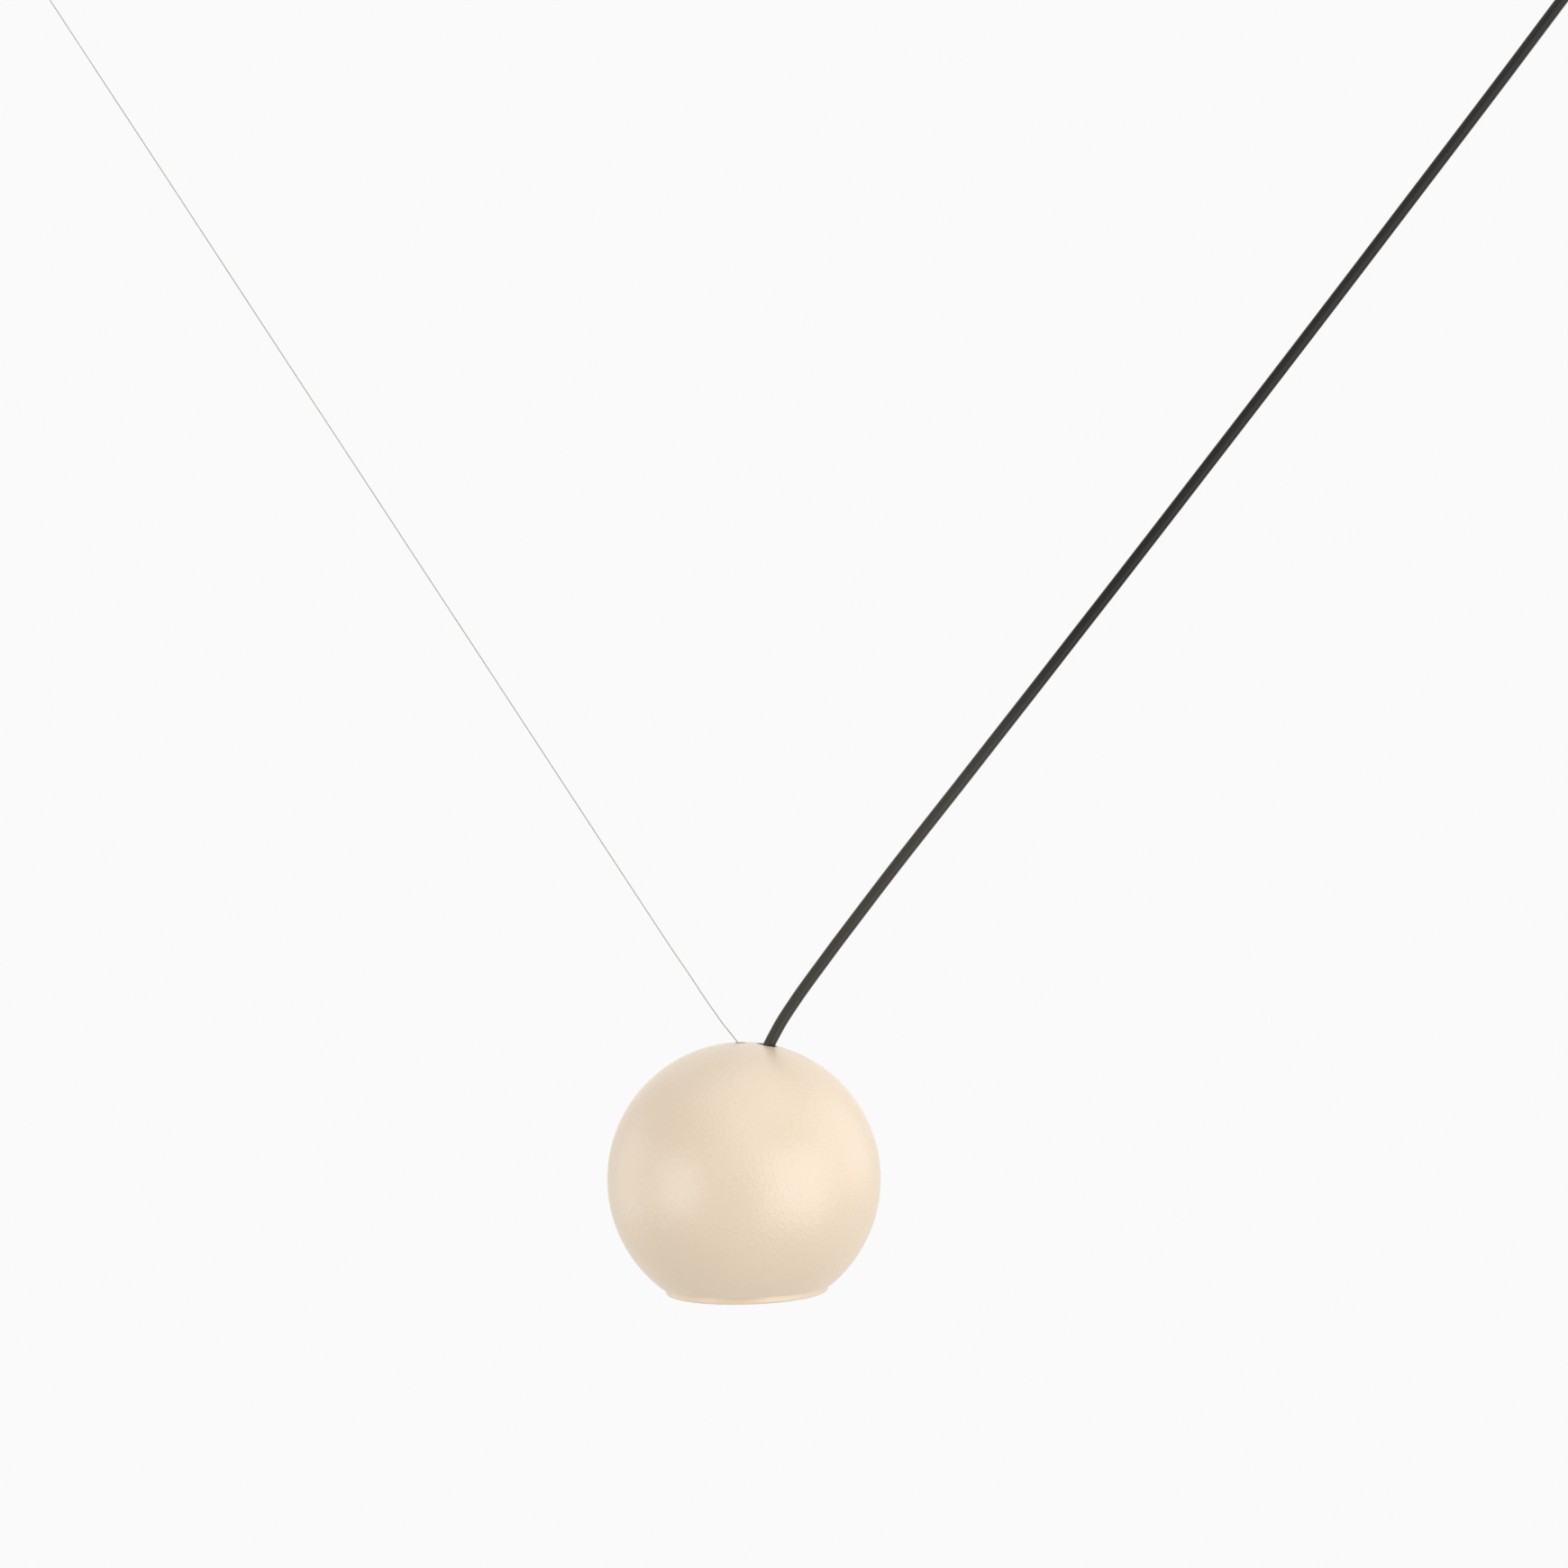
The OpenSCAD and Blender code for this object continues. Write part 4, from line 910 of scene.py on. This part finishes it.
@dataclass
class WireAnchor(Assembly):
    """Anchor on the ceiling with the gripper that clamps the wire.

    Attributes:
        coil_r: Radius of the spring, to the middle of its wire.
        coil_wire_r: Radius of that wire.
        coil_sides: Vertices around it.
        coil_from: Start of the spring, along the wire from the swivel.
        coil_to: End of the spring.
        turns: Turns of the spring.
        steps_per_turn: Rings in a turn.
        travel: How far the plunger is pressed in. Not used.
    """

    coil_r: float = 2.05
    coil_wire_r: float = 0.25
    coil_sides: int = 8
    coil_from: float = 13.8
    coil_to: float = 18.96
    turns: int = 6
    steps_per_turn: int = 24
    travel: float = 2.0
    finishes: dict[str, Finish] = field(default_factory=lambda: {
        "anchor_base": NICKEL_BRASS, "anchor_cap": NICKEL_BRASS, "gripper_head": NICKEL_BRASS,
        "gripper_barrel": KNURLED_NICKEL, "gripper_plunger": NICKEL_BRASS,
        "clamp_balls": STAINLESS_BALLS, "wire_nipple": TURNED_BRASS,
    })

    def build(self) -> None:
        """Build the coil spring."""
        along = Vector((math.sin(WIRE_LEAN), 0, -math.cos(WIRE_LEAN)))
        stand = standing(Vector((ANCHOR_X, 0, SWIVEL_Z)), along)
        steps = self.turns * self.steps_per_turn
        path = []
        for i in range(steps + 1):
            angle = math.tau * i / self.steps_per_turn
            rise = self.coil_from + (self.coil_to - self.coil_from) * i / steps
            x, y = self.coil_r * math.cos(angle), self.coil_r * math.sin(angle)
            path.append(stand @ Vector((x, y, rise)))
        bm = bmesh.new()
        sweep(bm, path, [self.coil_wire_r] * self.coil_sides)
        spring = finished(bm, "gripper_coil_spring", STAINLESS_BALLS)
        ride(spring, Body.SUSPENSION, "gripper_spring")
        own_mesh(spring)


@dataclass
class LampHead(Assembly):
    """Ball with its crown, gear tray, heat sink and light source.

    Heights and places are from the middle of the ball.

    Attributes:
        boss_z: Underside of the crown boss.
        grip_x: Axis of the cord grip.
        grip_screw_y: Distance of its flange screws from that axis.
        grip_flange: Thickness of its flange.
        grip_r: Radius of its sleeve.
        clamp_z: Height of the screw that clamps the cable.
        tray_z: Underside of the gear tray.
        tray_t: Thickness of the tray.
        tray_screw_x: Places of the tray screws.
        sink_z: Underside of the heat sink.
        sink_top: Upper face of its base.
        rod_circle_r: Radius of the circle of tie rods and heat sink screws.
        collar_screw_r: Radius of the circle of collar screws.
        collar_flange: Thickness of the collar's flange.
        holder_screw_x: Distance of the holder screws from the axis.
        holder_z: Underside of the light source's holder.
        pocket: Depth at which a sunk screw head sits.
        thread: Length of thread that a screw has in its hole.
        fit: Gap around a screw and at its end.
        core_r: Radius of a mains core.
        lead_r: Radius of a lead.
    """

    boss_z: float = 60.0
    grip_x: float = 10.3
    grip_screw_y: float = 9.5
    grip_flange: float = 3.0
    grip_r: float = 6.0
    clamp_z: float = 47.85
    tray_z: float = 5.0
    tray_t: float = 1.5
    tray_screw_x: tuple[float, ...] = (-29.0, -10.0, 10.0)
    sink_z: float = -34.013
    sink_top: float = -28.013
    rod_circle_r: float = 24.0
    collar_screw_r: float = 33.6
    collar_flange: float = 2.0
    holder_screw_x: float = 15.6
    holder_z: float = -38.513
    pocket: float = 2.3
    thread: float = 5.0
    fit: float = 0.05
    core_r: float = 0.9
    lead_r: float = 0.7
    finishes: dict[str, Finish] = field(default_factory=lambda: {
        "ball_shell": CREAM_POWDER, "crown_boss": CAST_ALUMINIUM, "wire_seat": TURNED_BRASS,
        "cord_grip": WHITE_NYLON, "tie_rods": ZINC_STEEL, "gear_tray": ZINC_STEEL,
        "tray_nuts": ZINC_STEEL, "led_driver": WHITE_NYLON, "head_terminal": WHITE_NYLON,
        "heat_sink": CAST_ALUMINIUM, "led_board": SOLDER_MASK, "led_chip": PHOSPHOR,
        "led_holder": WHITE_NYLON, "reflector": BRIGHT_ALUMINIUM, "collar": WHITE_NYLON,
    })

    def around(self, angles: Sequence[float], radius: float, z: float) -> list[Vector]:
        """Return points on a circle about the lamp axis, at angles in degrees."""
        turns = [math.radians(a) for a in angles]
        return [LAMP + Vector((radius * math.cos(a), radius * math.sin(a), z)) for a in turns]

    def build(self) -> None:
        """Build the screws and the leads inside the ball."""
        up = Vector((0, 0, 1))
        held = self.thread - 2 * self.fit
        tray = [LAMP + Vector((x, 0, self.tray_z)) for x in self.tray_screw_x]
        sink_seat = self.sink_z + self.pocket
        sink = self.around((0, 120, 240), self.rod_circle_r, sink_seat)
        holder_seat = self.holder_z + self.pocket
        holder = self.around((0, 180), self.holder_screw_x, holder_seat)
        collar = self.around((60, 180, 300), self.collar_screw_r, self.sink_z - self.collar_flange)
        for kind, seats, length in (
            ("tray", tray, self.tray_t + held),
            ("heat_sink", sink, self.sink_top - sink_seat + self.thread),
            ("holder", holder, self.sink_z - holder_seat + held),
            ("collar", collar, self.collar_flange + held),
        ):
            screws = [Screw(seat, up, length) for seat in seats]
            build_screws(f"{kind}_button_screws", f"{kind}_screws", Body.HEAD, screws, ZINC_STEEL)
        self.build_grip_screws(held)
        self.build_wiring()

    def build_grip_screws(self, held: float) -> None:
        """Build the screws of the cord grip: two in its flange and one that clamps the cable.

        Args:
            held: Length of a flange screw in the crown boss.
        """
        up, seat_z = Vector((0, 0, 1)), self.boss_z - self.grip_flange
        seats = [
            LAMP + Vector((self.grip_x, y, seat_z)) for y in (-self.grip_screw_y, self.grip_screw_y)
        ]
        screws = [Screw(seat, up, self.grip_flange + held) for seat in seats]
        clamp = LAMP + Vector((self.grip_x + self.grip_r, 0, self.clamp_z))
        screws.append(Screw(clamp, Vector((-1, 0, 0)), self.grip_r - CABLE_R - self.fit))
        build_screws("grip_button_screws", "cord_grip_screws", Body.HEAD, screws, ZINC_STEEL)

    def build_wiring(self) -> None:
        """Build the cores and leads between cable, terminal, driver and board."""
        mains = [[LAMP + Vector((x, k * y, z)) for x, y, z in MAINS_ROUTE] for k in (-1, 0, 1)]
        driver = [[LAMP + Vector((x, k * y, z)) for x, y, z in DRIVER_ROUTE] for k in (-1, 1)]
        light = [[LAMP + Vector((x, y, z)) for y, z in LIGHT_ROUTE] for x in LIGHT_LEAD_X]
        for name, node, routes, radius, finish in (
            ("mains_core_wires", "mains_cores", mains, self.core_r, BLUE_PVC),
            ("driver_lead_wires", "driver_leads", driver, self.lead_r, RED_PVC),
            ("light_lead_wires", "led_leads", light, self.lead_r, RED_PVC),
        ):
            ride(build_leads(name, routes, radius, finish), Body.HEAD, node)


@dataclass
class LightRing(Assembly):
    """Twist-off ring with the diffuser and its gasket."""

    finishes: dict[str, Finish] = field(default_factory=lambda: {
        "bezel_ring": CREAM_POWDER, "diffuser": OPAL_ACRYLIC, "gasket": GREY_SILICONE,
    })


@dataclass
class Softbox:
    """A square studio lamp that looks at the ball.

    Attributes:
        name: Name of the lamp.
        place: Where it stands, in metres from the ball.
        size: Length of a side, in metres.
        watts: Power.
    """

    name: str
    place: tuple[float, float, float]
    size: float
    watts: float

    def build(self) -> None:
        """Hang the lamp and turn it to the ball."""
        lamp = bpy.data.lights.new(self.name, "AREA")
        lamp.shape = "SQUARE"
        lamp.size = self.size
        lamp.energy = self.watts
        holder = bpy.data.objects.new(self.name, lamp)
        bpy.context.scene.collection.objects.link(holder)
        offset = Vector(self.place)
        holder.location = LAMP * MM + offset
        holder.rotation_euler = (-offset).to_track_quat("-Z", "Y").to_euler()
        holder.visible_camera = False


@dataclass
class Studio:
    """Camera at the photograph's place, pale floor, white surroundings and soft lamps.

    Attributes:
        camera_at: Place of the camera, in metres.
        pitch: How far it looks down.
        roll: How far it is turned about its line of sight.
        focal_px: Focal length, in pixels of the photograph.
        sensor_mm: Width of the sensor.
        clip: Nearest and farthest distance that the camera sees, in metres.
        white: Colour of the surroundings, sRGB hex.
        ambient: Their strength as a light. They are seen and mirrored at full strength.
        floor_z: Height of the floor, in metres.
        floor_r: Radius of the floor, in metres.
        floor_sides: Vertices around it.
        floor_colour: Its paint, sRGB hex.
        fade: Where the floor starts to fade and where it ends, as shares of its radius.
        lamps: The softboxes.
    """

    camera_at: tuple[float, float, float] = (-0.4539, -2.1878, -0.3692)
    pitch: float = math.radians(2.75)
    roll: float = math.radians(1.6)
    focal_px: float = 4767.7
    sensor_mm: float = 36.0
    clip: tuple[float, float] = (0.05, 50.0)
    white: str = "#FAFAFA"
    ambient: float = 0.465
    floor_z: float = -1.62
    floor_r: float = 1.5
    floor_sides: int = 96
    floor_colour: str = "#F4F3F1"
    fade: tuple[float, float] = (0.35, 0.97)
    lamps: tuple[Softbox, ...] = (
        Softbox("softbox_right", (1.44, -1.39, 0.02), 2.2, 19.8),
        Softbox("softbox_left", (-1.66, -1.12, 0.0), 1.4, 8.2),
        Softbox("softbox_right_side", (1.84, 0.49, 0.62), 2.0, 8.2),
        Softbox("softbox_left_side", (-1.9, 0.62, 0.0), 1.6, 5.4),
        Softbox("softbox_front", (0.0, -1.64, 1.15), 1.6, 3.2),
        Softbox("softbox_back", (0.0, 1.81, 0.85), 2.0, 3.0),
        Softbox("softbox_top", (0.29, -0.29, 1.96), 2.4, 10.8),
    )

    def place_camera(self) -> None:
        """Make the camera and give it to the scene."""
        lens = bpy.data.cameras.new("photo_camera")
        lens.sensor_fit = "HORIZONTAL"
        lens.sensor_width = self.sensor_mm
        lens.lens = self.focal_px / IMAGE_PX * self.sensor_mm
        lens.clip_start, lens.clip_end = self.clip
        camera = bpy.data.objects.new("photo_camera", lens)
        bpy.context.scene.collection.objects.link(camera)
        ahead = Vector((0, math.cos(self.pitch), -math.sin(self.pitch)))
        lift = Vector((0, math.sin(self.pitch), math.cos(self.pitch)))
        across = Vector((1, 0, 0))
        right = math.cos(self.roll) * across - math.sin(self.roll) * lift
        up = math.sin(self.roll) * across + math.cos(self.roll) * lift
        turn = Matrix((right, up, -ahead)).transposed().to_4x4()
        camera.matrix_world = Matrix.Translation(self.camera_at) @ turn
        bpy.context.scene.camera = camera

    def light(self) -> None:
        """Hang the lamps and make the surroundings white."""
        for lamp in self.lamps:
            lamp.build()
        world = bpy.data.worlds.new("white_surroundings")
        bpy.context.scene.world = world
        world.use_nodes = True
        tree = world.node_tree
        tree.nodes.clear()
        seen = self.seen_rays(tree)
        values = {MIX_SHARE: seen, MIX_FLOAT_A: self.ambient, MIX_FLOAT_B: 1.0}
        strength = add(tree, "ShaderNodeMix", values, data_type="FLOAT").outputs[0]
        values = {"Color": linear(self.white), "Strength": strength}
        shader = add(tree, "ShaderNodeBackground", values).outputs[0]
        add(tree, "ShaderNodeOutputWorld", {"Surface": shader})
        bpy.context.scene.view_settings.view_transform = "Standard"

    def seen_rays(self, tree: bpy.types.NodeTree) -> bpy.types.NodeSocket:
        """Tell the rays that see the surroundings from those that light the lamp.

        Args:
            tree: Node tree of the world.

        Returns:
            1 for camera, glossy and transmission rays, and 0 for the rest.
        """
        rays = add(tree, "ShaderNodeLightPath").outputs
        seen = rays["Is Camera Ray"]
        for other in ("Is Glossy Ray", "Is Transmission Ray"):
            values = {0: seen, 1: rays[other]}
            seen = add(tree, "ShaderNodeMath", values, operation="MAXIMUM").outputs[0]
        return seen

    def lay_floor(self) -> None:
        """Lay a round pale floor that fades into the white surroundings at its rim."""
        bm = bmesh.new()
        bmesh.ops.create_circle(bm, cap_ends=True, segments=self.floor_sides, radius=self.floor_r)
        bmesh.ops.translate(bm, vec=(LAMP.x * MM, 0, self.floor_z), verts=bm.verts)
        mesh = bpy.data.meshes.new("studio_floor")
        bm.to_mesh(mesh)
        bm.free()
        floor = bpy.data.objects.new("studio_floor", mesh)
        bpy.context.scene.collection.objects.link(floor)
        material = bpy.data.materials.new("painted_studio_floor")
        material.use_nodes = True
        tree = material.node_tree
        tree.nodes.clear()
        coords = add(tree, "ShaderNodeTexCoord").outputs["Object"]
        values = {"Vector": coords, "Location": (-LAMP.x * MM, 0, -self.floor_z)}
        middle = add(tree, "ShaderNodeMapping", values).outputs[0]
        reach = add(tree, "ShaderNodeVectorMath", {0: middle}, operation="LENGTH").outputs["Value"]
        start, end = (share * self.floor_r for share in self.fade)
        values = {"Value": reach, "From Min": start, "From Max": end}
        fade = add(tree, "ShaderNodeMapRange", values, interpolation_type="SMOOTHSTEP").outputs[0]
        paint = add(tree, "ShaderNodeBsdfDiffuse", {"Color": linear(self.floor_colour)}).outputs[0]
        clear = add(tree, "ShaderNodeBsdfTransparent").outputs[0]
        mixed = add(tree, "ShaderNodeMixShader", {0: fade, 1: paint, 2: clear}).outputs[0]
        under = add(tree, "ShaderNodeNewGeometry").outputs["Backfacing"]
        whole = add(tree, "ShaderNodeMixShader", {0: under, 1: mixed, 2: clear}).outputs[0]
        add(tree, "ShaderNodeOutputMaterial", {"Surface": whole})
        mesh.materials.append(material)


def main() -> None:
    """Build and dress the lamp in its studio."""
    logging.basicConfig(level=logging.INFO, format="%(message)s")
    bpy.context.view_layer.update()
    studio = Studio()
    studio.place_camera()
    assemblies = (
        PowerCable(), SuspensionWire(), CeilingRose(), WireAnchor(), LampHead(), LightRing(),
    )
    for assembly in assemblies:
        assembly.build()
        assembly.dress()
    studio.lay_floor()
    studio.light()


if __name__ == "__main__":
    main()
